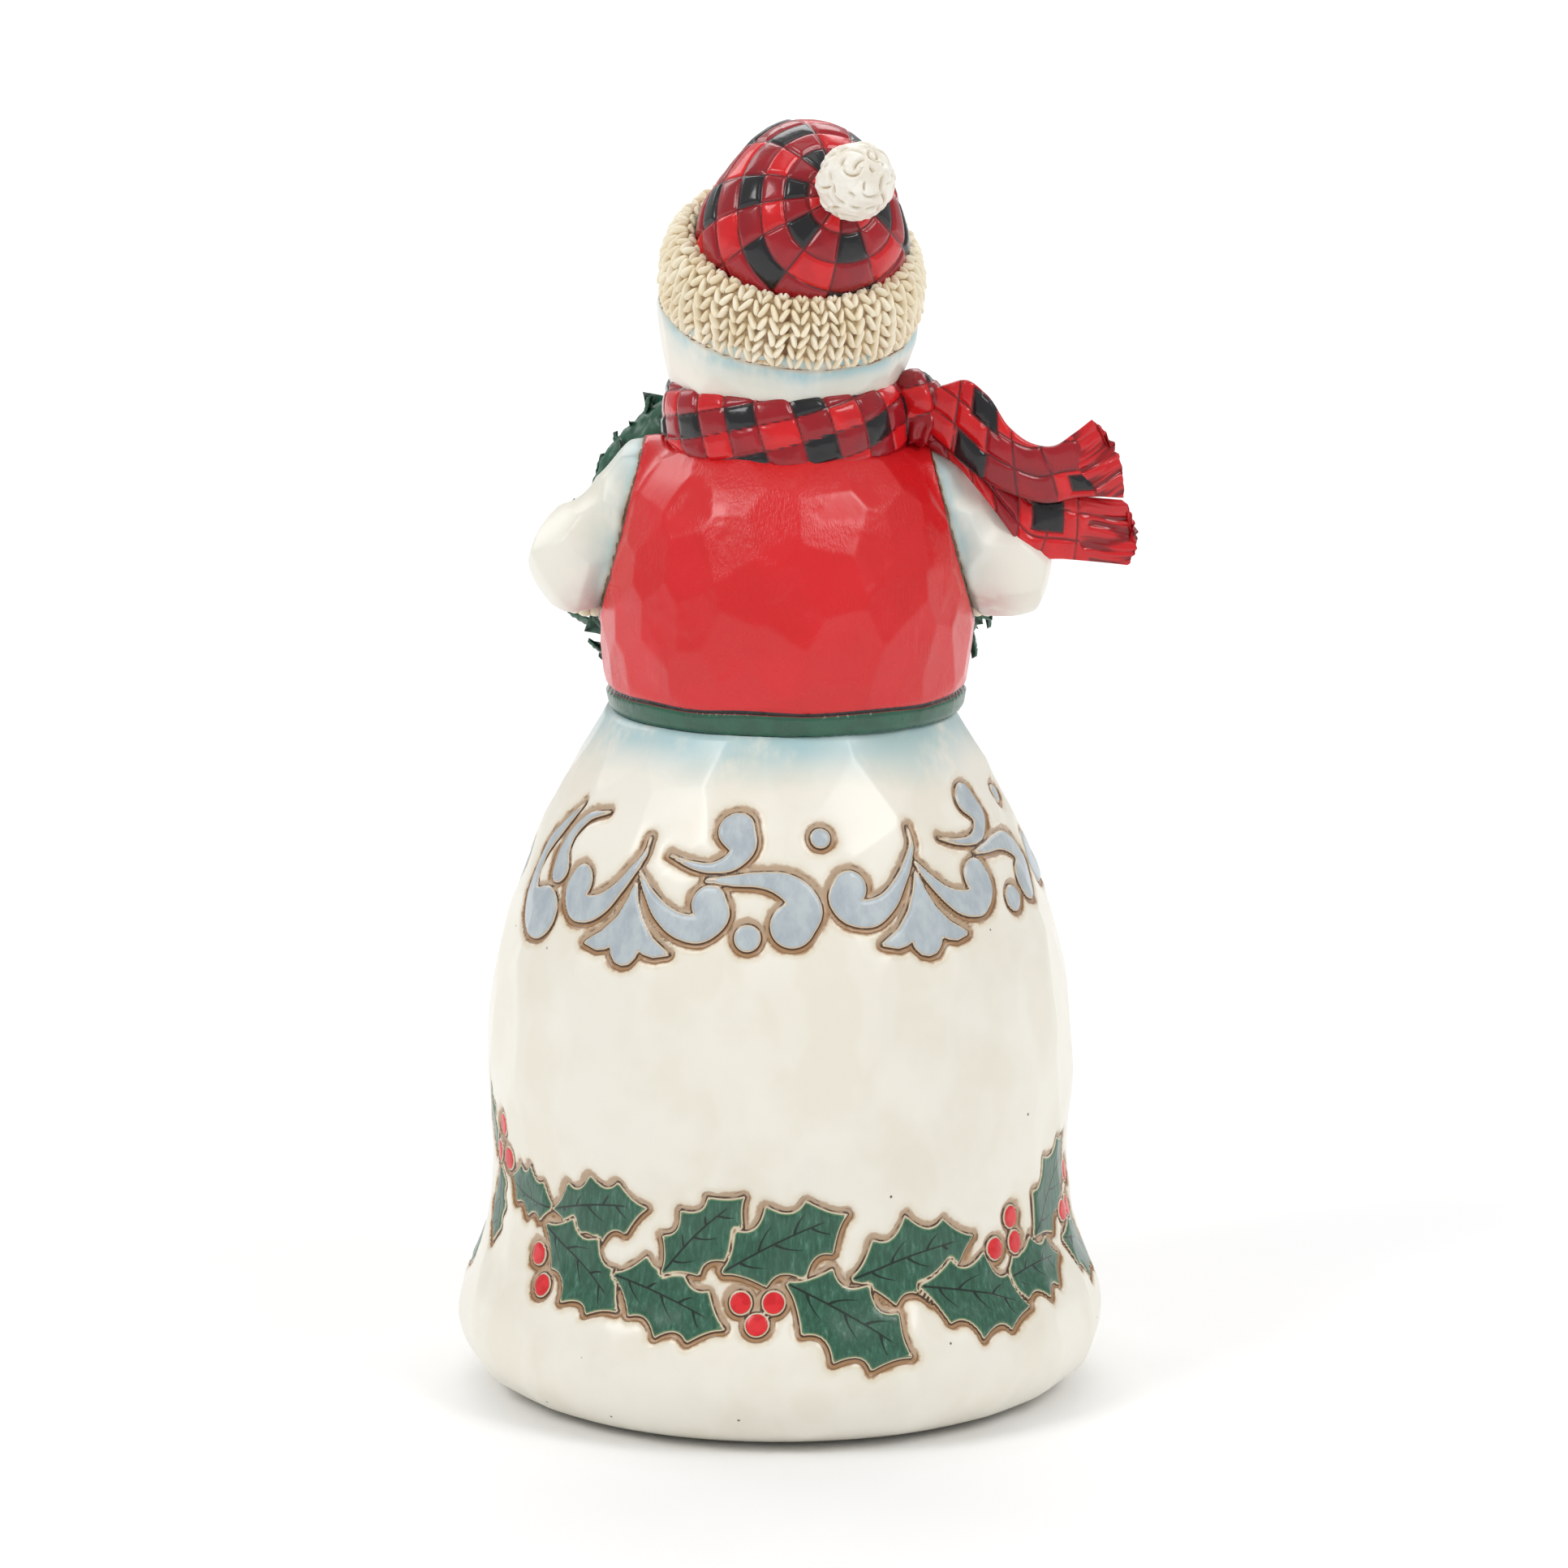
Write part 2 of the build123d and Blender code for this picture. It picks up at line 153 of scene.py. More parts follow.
def curve_through(points, count):
    """Evenly spaced points on a smooth curve through control rows of any width."""
    p = np.asarray(points, float)
    chord = np.concatenate(
        [[0], np.cumsum(np.maximum(np.linalg.norm(np.diff(p[:, :2], axis=0), axis=1), 1e-6))]
    )
    slope = np.gradient(p, chord, axis=0)
    t = np.linspace(0, chord[-1], count)
    i = np.clip(np.searchsorted(chord, t, side="right") - 1, 0, len(p) - 2)
    h = (chord[i + 1] - chord[i])[:, None]
    u = ((t - chord[i]) / (chord[i + 1] - chord[i]))[:, None]
    return (
        (2 * u**3 - 3 * u**2 + 1) * p[i] + (u**3 - 2 * u**2 + u) * h * slope[i]
        + (3 * u**2 - 2 * u**3) * p[i + 1] + (u**3 - u**2) * h * slope[i + 1]
    )


def outline_distance(x, y, corners):
    """Signed distance to a closed outline, negative inside."""
    best = np.full(x.shape, 1e9)
    inside = np.zeros(x.shape, bool)
    for (ax, ay), (bx, by) in zip(corners, np.roll(corners, -1, axis=0)):
        ex, ey = bx - ax, by - ay
        t = np.clip(((x - ax) * ex + (y - ay) * ey) / max(ex * ex + ey * ey, 1e-9), 0, 1)
        best = np.minimum(best, (x - ax - t * ex) ** 2 + (y - ay - t * ey) ** 2)
        inside ^= ((ay > y) != (by > y)) & (x < (bx - ax) * (y - ay) / (by - ay + 1e-12) + ax)
    return np.where(inside, -1, 1) * np.sqrt(best)


def stroke_distance(x, y, stroke):
    """Signed distance to a brush stroke of rows (x, y, radius)."""
    best = np.full(x.shape, 1e9)
    for cx, cy, r in stroke:
        best = np.minimum(best, np.hypot(x - cx, y - cy) - r)
    return best


# ---------------------------------------------------------------- meshes


def normals_of(grid, wrap=True):
    """Outward normals of a grid whose columns go round."""
    if wrap:
        along = np.roll(grid, -1, axis=1) - np.roll(grid, 1, axis=1)
    else:
        along = np.gradient(grid, axis=1)
    up = np.gradient(grid, axis=0)
    n = np.cross(along, up)
    return n / np.maximum(np.linalg.norm(n, axis=-1, keepdims=True), 1e-9)


def grid_faces(rows, columns, wrap_columns=True, wrap_rows=False, start=0):
    index = np.arange(rows * columns).reshape(rows, columns) + start
    if wrap_columns:
        index = np.concatenate([index, index[:, :1]], axis=1)
    if wrap_rows:
        index = np.concatenate([index, index[:1]], axis=0)
    return np.stack(
        [index[:-1, :-1], index[:-1, 1:], index[1:, 1:], index[1:, :-1]], axis=-1
    ).reshape(-1, 4).tolist()


def piece(name, points, faces, paint, slot, nodes=(), smooth=True, **fields):
    """A mesh piece on the figure, in place of its CAD nodes. fields are numbers stored at each point."""
    mesh = bpy.data.meshes.new(name)
    points = np.asarray(points, float).reshape(-1, 3)
    mesh.from_pydata((points * MM).tolist(), [], faces)
    for key, values in fields.items():
        data = mesh.attributes.new(key, "FLOAT", "POINT")
        data.data.foreach_set(
            "value", np.ascontiguousarray(np.asarray(values, float).ravel(), dtype=np.float32)
        )
    mesh.polygons.foreach_set("use_smooth", [smooth] * len(mesh.polygons))
    mesh.validate()
    if volume(points, faces) < 0:
        mesh.flip_normals()
    mesh.update()
    obj = bpy.data.objects.new(name, mesh)
    bpy.context.collection.objects.link(obj)
    mesh.materials.append(paint)
    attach(obj, "root")
    if nodes:
        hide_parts(*nodes)
    return obj


def volume(points, faces):
    quads = np.array([f if len(f) == 4 else list(f) + [f[-1]] for f in faces])
    a, b, c, d = (points[quads[:, i]] for i in range(4))
    return float(
        np.sum(np.einsum("ij,ij->i", a, np.cross(b, c)) + np.einsum("ij,ij->i", a, np.cross(c, d)))
    )


def capped(grid, low, high, **fields):
    """Rings closed by a point at each end: points, faces, and fields with values for the two ends."""
    rows, columns = grid.shape[:2]
    points = np.concatenate([grid.reshape(-1, 3), [low, high]])
    faces = grid_faces(rows, columns)
    a, b, last = rows * columns, rows * columns + 1, (rows - 1) * columns
    faces += [[a, (i + 1) % columns, i] for i in range(columns)]
    faces += [[b, last + i, last + (i + 1) % columns] for i in range(columns)]
    out = {k: np.concatenate([v.ravel(), [v[0].mean(), v[-1].mean()]]) for k, v in fields.items()}
    return points, faces, out


def nets(field, low, high, cell):
    """Points and faces of the closed surface where field crosses zero, by surface nets."""
    axes = [np.arange(low[i] - cell, high[i] + 2 * cell, cell) for i in range(3)]
    grid = np.stack(np.meshgrid(*axes, indexing="ij"), axis=-1)
    value = field(grid.reshape(-1, 3)).reshape(grid.shape[:3])
    shape = np.array(value.shape) - 1
    total, count = np.zeros((*shape, 3)), np.zeros(shape)
    corner = [(i, j, k) for i in (0, 1) for j in (0, 1) for k in (0, 1)]
    part = lambda a, c: a[c[0] : c[0] + shape[0], c[1] : c[1] + shape[1], c[2] : c[2] + shape[2]]
    for a in corner:
        for axis in range(3):
            if a[axis] == 0:
                b = tuple(a[i] + (i == axis) for i in range(3))
                va, vb = part(value, a), part(value, b)
                cross = (va < 0) != (vb < 0)
                t = np.where(cross, va / np.where(cross, va - vb, 1), 0)[..., None]
                total += np.where(cross[..., None], part(grid, a) * (1 - t) + part(grid, b) * t, 0)
                count += cross
    used = count > 0
    number = np.full(shape, -1)
    number[used] = np.arange(used.sum())
    points = total[used] / count[used][:, None]
    faces = []
    for axis in range(3):
        v1 = [1, 2, 0][axis]
        v2 = [2, 0, 1][axis]
        lo = [slice(None)] * 3
        hi = [slice(None)] * 3
        lo[axis], hi[axis] = slice(0, -1), slice(1, None)
        a, b = value[tuple(lo)] < 0, value[tuple(hi)] < 0
        for ring, flip in (((a & ~b), False), ((~a & b), True)):
            at = np.argwhere(ring)
            at = at[(at[:, v1] > 0) & (at[:, v2] > 0) & (at[:, v1] < shape[v1]) & (at[:, v2] < shape[v2])]
            q = []
            for d1, d2 in ((1, 1), (0, 1), (0, 0), (1, 0)):
                c = at.copy()
                c[:, v1] -= d1
                c[:, v2] -= d2
                q.append(number[c[:, 0], c[:, 1], c[:, 2]])
            q = np.stack(q if not flip else q[::-1], axis=1)
            faces += q.tolist()
    for _ in range(3):
        slope = np.stack([(field(points + e) - field(points - e)) / 0.02 for e in np.eye(3) * 0.01], axis=1)
        points = points - (field(points) / np.maximum((slope**2).sum(1), 0.05))[:, None] * slope
    return points, faces, unit(slope)


def capsule(p, a, b, ra, rb):
    """Distance to a rod that goes from radius ra at a to rb at b."""
    a, b = np.asarray(a, float), np.asarray(b, float)
    t = np.clip(((p - a) @ (b - a)) / ((b - a) @ (b - a)), 0, 1)
    return np.linalg.norm(p - a - t[:, None] * (b - a), axis=1) - (ra + (rb - ra) * t)


def blend(a, b, k):
    """The union of two distances, with a fillet of about k."""
    h = np.clip(0.5 + 0.5 * (b - a) / k, 0, 1)
    return b * (1 - h) + a * h - k * h * (1 - h)


# ---------------------------------------------------------------- paints


def rgb(r, g, b):
    """A linear colour from 8-bit screen values."""
    return tuple(
        ((c / 255 + 0.055) / 1.055) ** 2.4 if c > 10 else c / 255 / 12.92 for c in (r, g, b)
    ) + (1.0,)


class Paint:
    """Builds a node material a line at a time."""

    def __init__(self, name, **sockets):
        self.material = bpy.data.materials.new(name)
        self.material.use_nodes = True
        self.tree = self.material.node_tree
        self.tree.nodes.clear()
        self.shader = self.node("BsdfPrincipled", {"Specular IOR Level": 0.35})
        self.node("OutputMaterial", {0: self.shader.outputs[0]})
        for key, value in sockets.items():
            self.shader.inputs[key.replace("_", " ")].default_value = value
        self.place = self.node("TexCoord", {}).outputs["Object"]

    def put(self, socket, value):
        if isinstance(value, bpy.types.NodeSocket):
            self.tree.links.new(value, socket)
        elif value is not None:
            socket.default_value = value

    def node(self, kind, inputs, **settings):
        node = self.tree.nodes.new("ShaderNode" + kind)
        for key, value in settings.items():
            setattr(node, key, value)
        for key, value in inputs.items():
            self.put(node.inputs[key], value)
        return node

    def field(self, name):
        """A number stored at each point of the mesh."""
        return self.node("Attribute", {}, attribute_name=name).outputs["Fac"]

    def math(self, operation, *values):
        return self.node("Math", dict(enumerate(values)), operation=operation).outputs[0]

    def times(self, a, b):
        return self.math("MULTIPLY", a, b)

    def linear(self, value, slope, offset):
        return self.math("MULTIPLY_ADD", value, slope, offset)

    def rise(self, low, high, value):
        """From 0 where value is low to 1 where it is high, smoothly."""
        ends = {"From Min": low, "From Max": high}
        if low > high:
            ends = {"From Min": high, "From Max": low, "To Min": 1, "To Max": 0}
        return self.node("MapRange", {"Value": value, **ends}, interpolation_type="SMOOTHSTEP").outputs[0]

    def mix(self, amount, a, b, kind="MIX"):
        return self.node("Mix", {0: amount, 6: a, 7: b}, data_type="RGBA", blend_type=kind).outputs[2]

    def over(self, colour, top, amount, most):
        """A colour laid over another, at its thickest where amount is 1."""
        return self.mix(self.times(amount, most), colour, top)

    def stretched(self, size, angle=0):
        """Places for a grain that runs the way of the smallest number, turned by degrees about Y."""
        inputs = {"Vector": self.place, "Rotation": (0, radians(angle), 0), "Scale": size}
        return self.node("Mapping", inputs).outputs[0]

    def noise(self, size_mm, detail=2.0, rough=0.5, where=None):
        """Noise from about 0.3 to 0.7, with features size_mm apart."""
        where = self.place if where is None else where
        inputs = {"Vector": where, "Scale": 1000 / size_mm, "Detail": detail, "Roughness": rough}
        return self.node("TexNoise", inputs).outputs["Fac"]

    def bump(self, height, strength, distance_mm, normal=None):
        inputs = {"Height": height, "Strength": strength, "Distance": distance_mm * MM, "Normal": normal}
        return self.node("Bump", inputs).outputs[0]

    def specks(self, size_mm, radius, share):
        """Small pits: 1 inside, on a share of the cells."""
        cells = self.node("TexVoronoi", {"Vector": self.place, "Scale": 1000 / size_mm}).outputs
        pick = self.node("SeparateColor", {0: cells["Color"]}).outputs[0]
        near = self.rise(radius, radius * 0.5, cells["Distance"])
        return self.times(near, self.math("LESS_THAN", pick, share))

    def done(self, colour, roughness, normal):
        for socket, value in (("Base Color", colour), ("Roughness", roughness), ("Normal", normal)):
            self.put(self.shader.inputs[socket], value)
        return self.material


CREAM, CREAM_LIGHT, CREAM_DARK = rgb(233, 228, 213), rgb(238, 234, 222), rgb(222, 214, 194)
BROWN, BROWN_LIGHT, BROWN_DARK = rgb(128, 96, 66), rgb(196, 170, 132), rgb(70, 50, 36)
BLUE_WASH = rgb(158, 210, 232)
BRIGHT_RED, DEEP_RED, BLACK = rgb(214, 24, 30), rgb(136, 14, 26), rgb(26, 26, 29)
VEST_RED = rgb(208, 24, 28)
GREEN, GREEN_DARK = rgb(44, 94, 72), rgb(28, 68, 52)
SILVER = rgb(188, 197, 200)


def satin(p, rough=0.36, streak=0.035):
    """Fine brush streaks and a slight unevenness under a varnish: roughness and normal."""
    brush = p.noise(0.5, 2, 0.6, p.stretched((1, 1, 0.12)))
    patch = p.noise(9, 3)
    roughness = p.linear(patch, 0.22, rough - 0.1)
    normal = p.bump(brush, streak, 0.4)
    return roughness, p.bump(p.noise(2.5, 2), 0.05, 0.5, normal)


def cream_base(p, ridge_highlight=True):
    """Ivory paint with warm patches, a painted highlight on the ridges between knife cuts, and a few dark
    pinholes.
    """
    colour = p.mix(p.rise(0.4, 0.62, p.noise(18, 3)), CREAM, CREAM_LIGHT)
    colour = p.over(colour, CREAM_DARK, p.rise(0.5, 0.75, p.noise(11, 3, 0.5)), 0.08)
    if ridge_highlight:
        # Painted highlight: the ridges between knife cuts are lightened, as light catches them.
        colour = p.over(colour, CREAM_LIGHT, p.rise(0.02, 0.22, p.field("ridge")), 0.5)
    pits = p.times(p.specks(7, 0.05, 0.5), 0.9)
    return p.mix(pits, colour, BROWN_DARK), pits


def add_blue(p, colour, amount):
    """A thin blue wash, brushed unevenly, where amount is high."""
    streaks = p.linear(p.noise(1.5, 3, 0.6, p.stretched((1, 1, 0.4))), 0.3, p.noise(12, 3, 0.5))
    wash = p.times(amount, p.rise(0.32, 0.74, streaks))
    return p.mix(wash, colour, p.mix(1.0, colour, BLUE_WASH, "MULTIPLY"))


def paint_body():
    p = Paint("painted_cream_body", Coat_Weight=0.35, Coat_Roughness=0.18)
    colour, pits = cream_base(p)
    colour = add_blue(p, colour, p.field("blue"))
    scroll, leaf, berry, under = p.field("scroll"), p.field("leaf"), p.field("berry"), p.field("under")
    near = p.math("MINIMUM", p.math("MINIMUM", scroll, leaf), berry)
    # Painted shade: shade is high on the lower side of each carved shape and makes the tan halo, the brown
    # groove stain and the dark outline heavier there; the brown in the grooves is otherwise stain.
    shade = p.rise(-0.7, 0.9, under)
    ragged = p.linear(p.noise(3, 3, 0.6), 1.8, p.math("SUBTRACT", near, 0.9))
    halo = p.times(p.rise(3.0, 1.0, ragged), p.linear(shade, 0.3, 0.35))
    colour = p.mix(halo, colour, rgb(212, 190, 154))
    dirt_and_shade = p.times(p.rise(1.75, 1.2, ragged), p.linear(shade, 0.3, 0.65))
    colour = p.mix(dirt_and_shade, colour, rgb(166, 124, 82))
    broken = p.linear(shade, 0.3, p.noise(2.0, 3))
    line = p.times(p.rise(0.22, 0.34, near), p.rise(0.62, 0.46, near))
    outer = p.times(p.rise(1.0, 1.15, near), p.rise(1.45, 1.25, near))
    colour = p.mix(p.times(line, p.rise(0.35, 0.6, broken)), colour, BROWN_DARK)
    colour = p.mix(p.times(p.times(outer, 0.7), p.rise(0.5, 0.7, broken)), colour, rgb(112, 80, 50))
    lip = p.times(p.rise(0.0, 0.06, near), p.rise(0.26, 0.16, near))
    colour = p.over(colour, rgb(226, 218, 196), lip, 0.7)

    silver = p.mix(
        p.rise(0.3, 0.7, p.noise(4, 4, 0.7, p.stretched((1, 1, 0.5), 20))), SILVER, rgb(166, 176, 183)
    )
    colour = p.mix(p.rise(0.04, -0.06, scroll), colour, silver)
    x, y = p.field("leaf_x"), p.field("leaf_y")
    wide = p.math("ABSOLUTE", y)
    strokes = p.noise(0.8, 4, 0.7, p.stretched((1, 1, 0.22), 35))
    green = p.mix(p.rise(0.35, 0.7, strokes), rgb(40, 82, 62), rgb(60, 108, 88))
    green = p.over(green, rgb(112, 146, 128), p.rise(0.58, 0.72, strokes), 0.5)
    middle = p.times(p.rise(0.3, 0.14, p.linear(x, 0.1, wide)), p.rise(0.86, 0.78, x))
    bent = p.times(wide, p.linear(wide, -0.009, -0.02))
    side = p.linear(p.math("GREATER_THAN", y, 0.0), 0.13, p.math("ADD", bent, x))
    stripe = p.math("ABSOLUTE", p.math("SUBTRACT", p.math("FRACT", p.math("DIVIDE", side, 0.29)), 0.5))
    stripe = p.linear(wide, 0.009, stripe)
    side = p.times(p.rise(0.06, 0.035, stripe), p.rise(3.6, 2.8, wide))
    side = p.times(side, p.rise(-1.1, -1.5, leaf))
    veins = p.math("MAXIMUM", middle, side)
    green = p.over(green, rgb(10, 26, 20), veins, 0.9)
    green = p.over(green, rgb(112, 150, 100), p.rise(-0.3, -0.08, leaf), 0.6)
    colour = p.mix(p.rise(0.05, -0.05, leaf), colour, green)
    red = p.mix(p.rise(0.4, 0.6, p.noise(2, 2)), rgb(206, 22, 32), rgb(222, 40, 46))
    colour = p.mix(p.rise(0.0, -0.1, berry), colour, red)
    roughness, normal = satin(p, 0.36)
    dent = p.math("ADD", p.times(line, -0.7), p.times(veins, -0.8))
    dent = p.math("SUBTRACT", dent, p.times(pits, 0.6))
    return p.done(colour, roughness, p.bump(dent, 0.6, 0.35, normal))


def paint_cream():
    """The head and the arms, with a blue wash, a lilac tint that is rosy cheeks on the head and painted shade
    under the arms, and brown seam lines, where their fields say.
    """
    p = Paint("painted_cream", Coat_Weight=0.25, Coat_Roughness=0.25)
    colour, pits = cream_base(p)
    colour = add_blue(p, colour, p.field("blue"))
    # Pink blush on the cheeks, and pink painted shade on the arms' undersides next to the vest.
    blush = p.times(p.field("blush"), p.rise(0.25, 0.6, p.noise(4, 3)))
    colour = p.mix(blush, colour, rgb(206, 150, 150))
    # Brown lines along the seam field: on the head a painted shadow along the cuff's lower edge and a ring low
    # on the head, on the arms the dark joint at the armholes.
    dirt_and_shade = p.linear(p.noise(2, 3), 0.6, p.math("SUBTRACT", p.field("seam"), 0.3))
    colour = p.over(colour, BROWN_LIGHT, p.rise(1.0, 0.3, dirt_and_shade), 0.5)
    colour = p.mix(p.rise(0.36, 0.16, dirt_and_shade), colour, BROWN)
    roughness, normal = satin(p, 0.38)
    return p.done(colour, roughness, p.bump(p.times(pits, -1.0), 0.5, 0.3, normal))


def paint_vest():
    p = Paint("painted_vest", Coat_Weight=0.1, Coat_Roughness=0.25, Specular_IOR_Level=0.5)
    red = p.mix(p.rise(0.38, 0.66, p.noise(14, 3)), VEST_RED, rgb(214, 26, 32))
    red = p.over(red, rgb(236, 120, 112), p.specks(5, 0.03, 0.5), 0.5)
    seam, band = p.field("seam"), p.field("band")
    green = p.mix(p.rise(0.35, 0.65, p.noise(4, 3)), GREEN, rgb(42, 84, 66))
    colour = p.mix(p.rise(0.04, -0.04, band), red, green)
    line = p.times(p.rise(-0.02, 0.08, band), p.rise(0.8, 0.6, band))
    colour = p.mix(line, colour, rgb(30, 22, 22))
    colour = p.mix(
        p.rise(0.3, 0.12, p.linear(p.noise(2, 3), 0.4, p.math("SUBTRACT", seam, 0.2))), colour,
        rgb(84, 36, 24),
    )
    streak = p.noise(0.5, 3, 0.65, p.stretched((1, 1, 0.06), 38))
    worn = p.rise(0.42, 0.6, p.noise(9, 2))
    normal = p.bump(p.times(streak, worn), 0.4, 0.4)
    normal = p.bump(p.noise(2.5, 2), 0.05, 0.5, normal)
    roughness = p.linear(p.noise(5, 3), 0.14, 0.2)
    return p.done(colour, roughness, p.bump(line, -0.4, 0.4, normal))


def paint_plaid(name, gloss=0.2):
    """Engraved lines round cells of three colours, and a fringe where its field says."""
    p = Paint(name, Coat_Weight=0.35, Coat_Roughness=0.08)
    shade = p.field("shade")
    deep = p.mix(
        p.linear(p.rise(0.35, 0.65, p.noise(5, 3)), 0.5, p.times(shade, 0.5)), DEEP_RED, rgb(164, 16, 30)
    )
    bright = p.mix(p.rise(0.35, 0.65, p.noise(5, 3)), BRIGHT_RED, rgb(198, 18, 26))
    colour = p.mix(p.rise(0.42, 0.58, p.field("bright")), deep, bright)
    colour = p.mix(p.rise(0.42, 0.58, p.field("black")), colour, BLACK)
    near = p.field("near")
    line = p.times(p.rise(0.3, 0.12, near), p.rise(0.25, 0.45, p.noise(3, 2)))
    colour = p.over(colour, rgb(84, 8, 14), line, 0.8)
    fringe = p.field("fringe")
    strand = p.mix(p.rise(0.2, -0.7, p.field("thread")), rgb(202, 24, 32), rgb(134, 12, 20))
    colour = p.mix(p.rise(0.45, 0.55, fringe), colour, strand)
    roughness = p.linear(p.noise(3, 3), 0.18, gloss - 0.04)
    normal = p.bump(p.noise(1.8, 3, 0.6), 0.16, 0.5)
    return p.done(colour, roughness, p.bump(line, -0.3, 0.3, normal))


def paint_knit():
    p = Paint("painted_knit", Coat_Weight=0.25, Coat_Roughness=0.2)
    deep = p.math("ADD", p.field("hollow"), p.linear(p.noise(1.6, 3), 0.5, -0.25))
    colour = p.mix(p.rise(0.35, 0.65, p.noise(6, 3)), rgb(248, 240, 218), rgb(240, 227, 197))
    colour = p.over(colour, rgb(216, 190, 146), p.rise(0.35, 0.75, deep), 0.8)
    colour = p.mix(p.rise(0.72, 1.1, deep), colour, rgb(126, 92, 58))
    return p.done(colour, p.linear(p.noise(3, 2), 0.2, 0.38), p.bump(p.noise(0.7, 3, 0.6), 0.12, 0.4))


def paint_pompom():
    p = Paint("painted_pompom", Coat_Weight=0.3, Coat_Roughness=0.25)
    deep = p.math("ADD", p.field("hollow"), p.linear(p.noise(1.2, 3), 0.5, -0.25))
    colour = p.mix(p.rise(0.3, 0.65, p.noise(4, 3)), rgb(244, 240, 230), rgb(232, 225, 210))
    colour = p.over(colour, rgb(204, 184, 148), p.rise(0.35, 0.8, deep), 0.75)
    colour = p.over(colour, rgb(134, 104, 72), p.rise(0.8, 1.15, deep), 0.85)
    return p.done(colour, p.linear(p.noise(3, 2), 0.2, 0.32), p.bump(p.noise(0.9, 3, 0.6), 0.1, 0.4))


def paint_green(name, light=GREEN, dark=GREEN_DARK):
    p = Paint(name, Coat_Weight=0.25, Coat_Roughness=0.25)
    colour = p.mix(p.rise(0.35, 0.65, p.noise(4, 3, 0.6)), light, dark)
    # Painted highlight where the ridge field is high, and near-black painted shade where it is low: veins,
    # leaf undersides, facet hollows and the wreath's core under the leaves.
    colour = p.over(colour, rgb(92, 140, 112), p.rise(0.55, 1.0, p.field("ridge")), 0.5)
    colour = p.over(colour, rgb(8, 24, 18), p.rise(0.35, 0.0, p.field("ridge")), 0.8)
    return p.done(colour, p.linear(p.noise(3, 2), 0.25, 0.3), p.bump(p.noise(1.1, 3, 0.6), 0.15, 0.4))


def paint_simple(name, light, dark, size=4.0, rough=0.35, coat=0.3, grain=1.0, bump=0.1):
    """Paint with patches of two colours and a fine uneven skin."""
    p = Paint(name, Coat_Weight=coat, Coat_Roughness=0.15)
    colour = p.mix(p.rise(0.36, 0.64, p.noise(size, 4, 0.6)), light, dark)
    return p.done(
        colour, p.linear(p.noise(size * 0.7, 3), 0.25, rough - 0.12), p.bump(p.noise(grain, 3), bump, 0.5)
    )


def paint_wood():
    p = Paint("beech", Coat_Weight=0.05)
    rings = p.noise(1.6, 4, 0.6, p.stretched((1, 1, 0.1)))
    colour = p.mix(p.rise(0.35, 0.65, rings), rgb(206, 168, 122), rgb(170, 128, 84))
    colour = p.mix(p.specks(2.2, 0.12, 0.6), colour, rgb(130, 92, 58))
    return p.done(colour, p.linear(rings, 0.2, 0.48), p.bump(rings, 0.15, 0.3))


def paint_felt():
    p = Paint("green_felt", Sheen_Weight=0.4, Sheen_Roughness=0.5)
    fuzz = p.noise(0.35, 4, 0.7)
    colour = p.mix(p.rise(0.3, 0.7, fuzz), rgb(30, 66, 44), rgb(56, 98, 70))
    return p.done(colour, p.linear(fuzz, 0.1, 0.85), p.bump(fuzz, 0.5, 0.3))


def paint_steel():
    p = Paint("cut_wire", Metallic=1.0)
    scratch = p.noise(0.3, 3, 0.6, p.stretched((1, 0.1, 1)))
    return p.done(
        p.mix(scratch, rgb(190, 190, 192), rgb(150, 150, 154)), p.linear(scratch, 0.2, 0.22),
        p.bump(scratch, 0.1, 0.1),
    )


cream_body, cream, vest_paint = paint_body(), paint_cream(), paint_vest()
plaid, knit, pompom_paint = paint_plaid("painted_plaid"), paint_knit(), paint_pompom()
greens = paint_green("painted_greens")
mitten_paint = paint_green("painted_mitten", rgb(40, 92, 70), rgb(26, 66, 50))
berry_paint = paint_simple("painted_berry", BRIGHT_RED, rgb(150, 10, 18), 2.5, 0.2, 0.8)
cone_paint = paint_simple("painted_cone", rgb(112, 74, 46), rgb(66, 40, 24), 1.5, 0.5, 0.1, 0.6, 0.3)
coal_paint = paint_simple("painted_coal", rgb(26, 26, 28), rgb(48, 46, 46), 1.2, 0.25, 0.6, 0.5, 0.25)
carrot_paint = paint_simple(
    "painted_carrot", rgb(226, 116, 34), rgb(196, 84, 20), 2.4, 0.35, 0.35, 0.9, 0.15
)
wood, felt, steel = paint_wood(), paint_felt(), paint_steel()


# ---------------------------------------------------------------- lower body


def lathe(profile, columns, centre_x=0.0):
    """Rings from rows (radius, height), with the first column at the figure's front."""
    angle = turns(columns) - pi / 2
    r, z = profile[:, 0][:, None], profile[:, 1][:, None]
    grid = xyz(centre_x + r * np.cos(angle), r * np.sin(angle), z)
    return grid, angle


def from_back(degrees):
    """The lathe angle of a direction given from the back, towards -X."""
    return radians(90 + degrees)


class Carved:
    """A lathe grid seen as a sheet, so that shapes can be carved anywhere on it."""

    def __init__(self, profile, angle):
        self.radius, self.height, self.angle = profile[:, 0], profile[:, 1], angle
        steps = np.linalg.norm(np.diff(profile, axis=0), axis=1)
        self.along = np.concatenate([[0], np.cumsum(steps)])

    def arc_at(self, z, from_row=0):
        return np.interp(z, self.height[from_row:], self.along[from_row:])

    def local(self, degrees, z, reach, first_row):
        """Rows, columns and sheet coordinates (to the right as seen from outside, and up) near a place."""
        middle = self.arc_at(z, first_row)
        rows = np.where(np.abs(self.along - middle) < reach)[0]
        turn = (self.angle - from_back(degrees) + pi) % (2 * pi) - pi
        columns = np.where(np.abs(turn) * self.radius[rows].mean() < reach)[0]
        x = turn[columns][None] * self.radius[rows][:, None]
        y = (self.along[rows] - middle)[:, None] + 0 * x
        return np.ix_(rows, columns), x, y


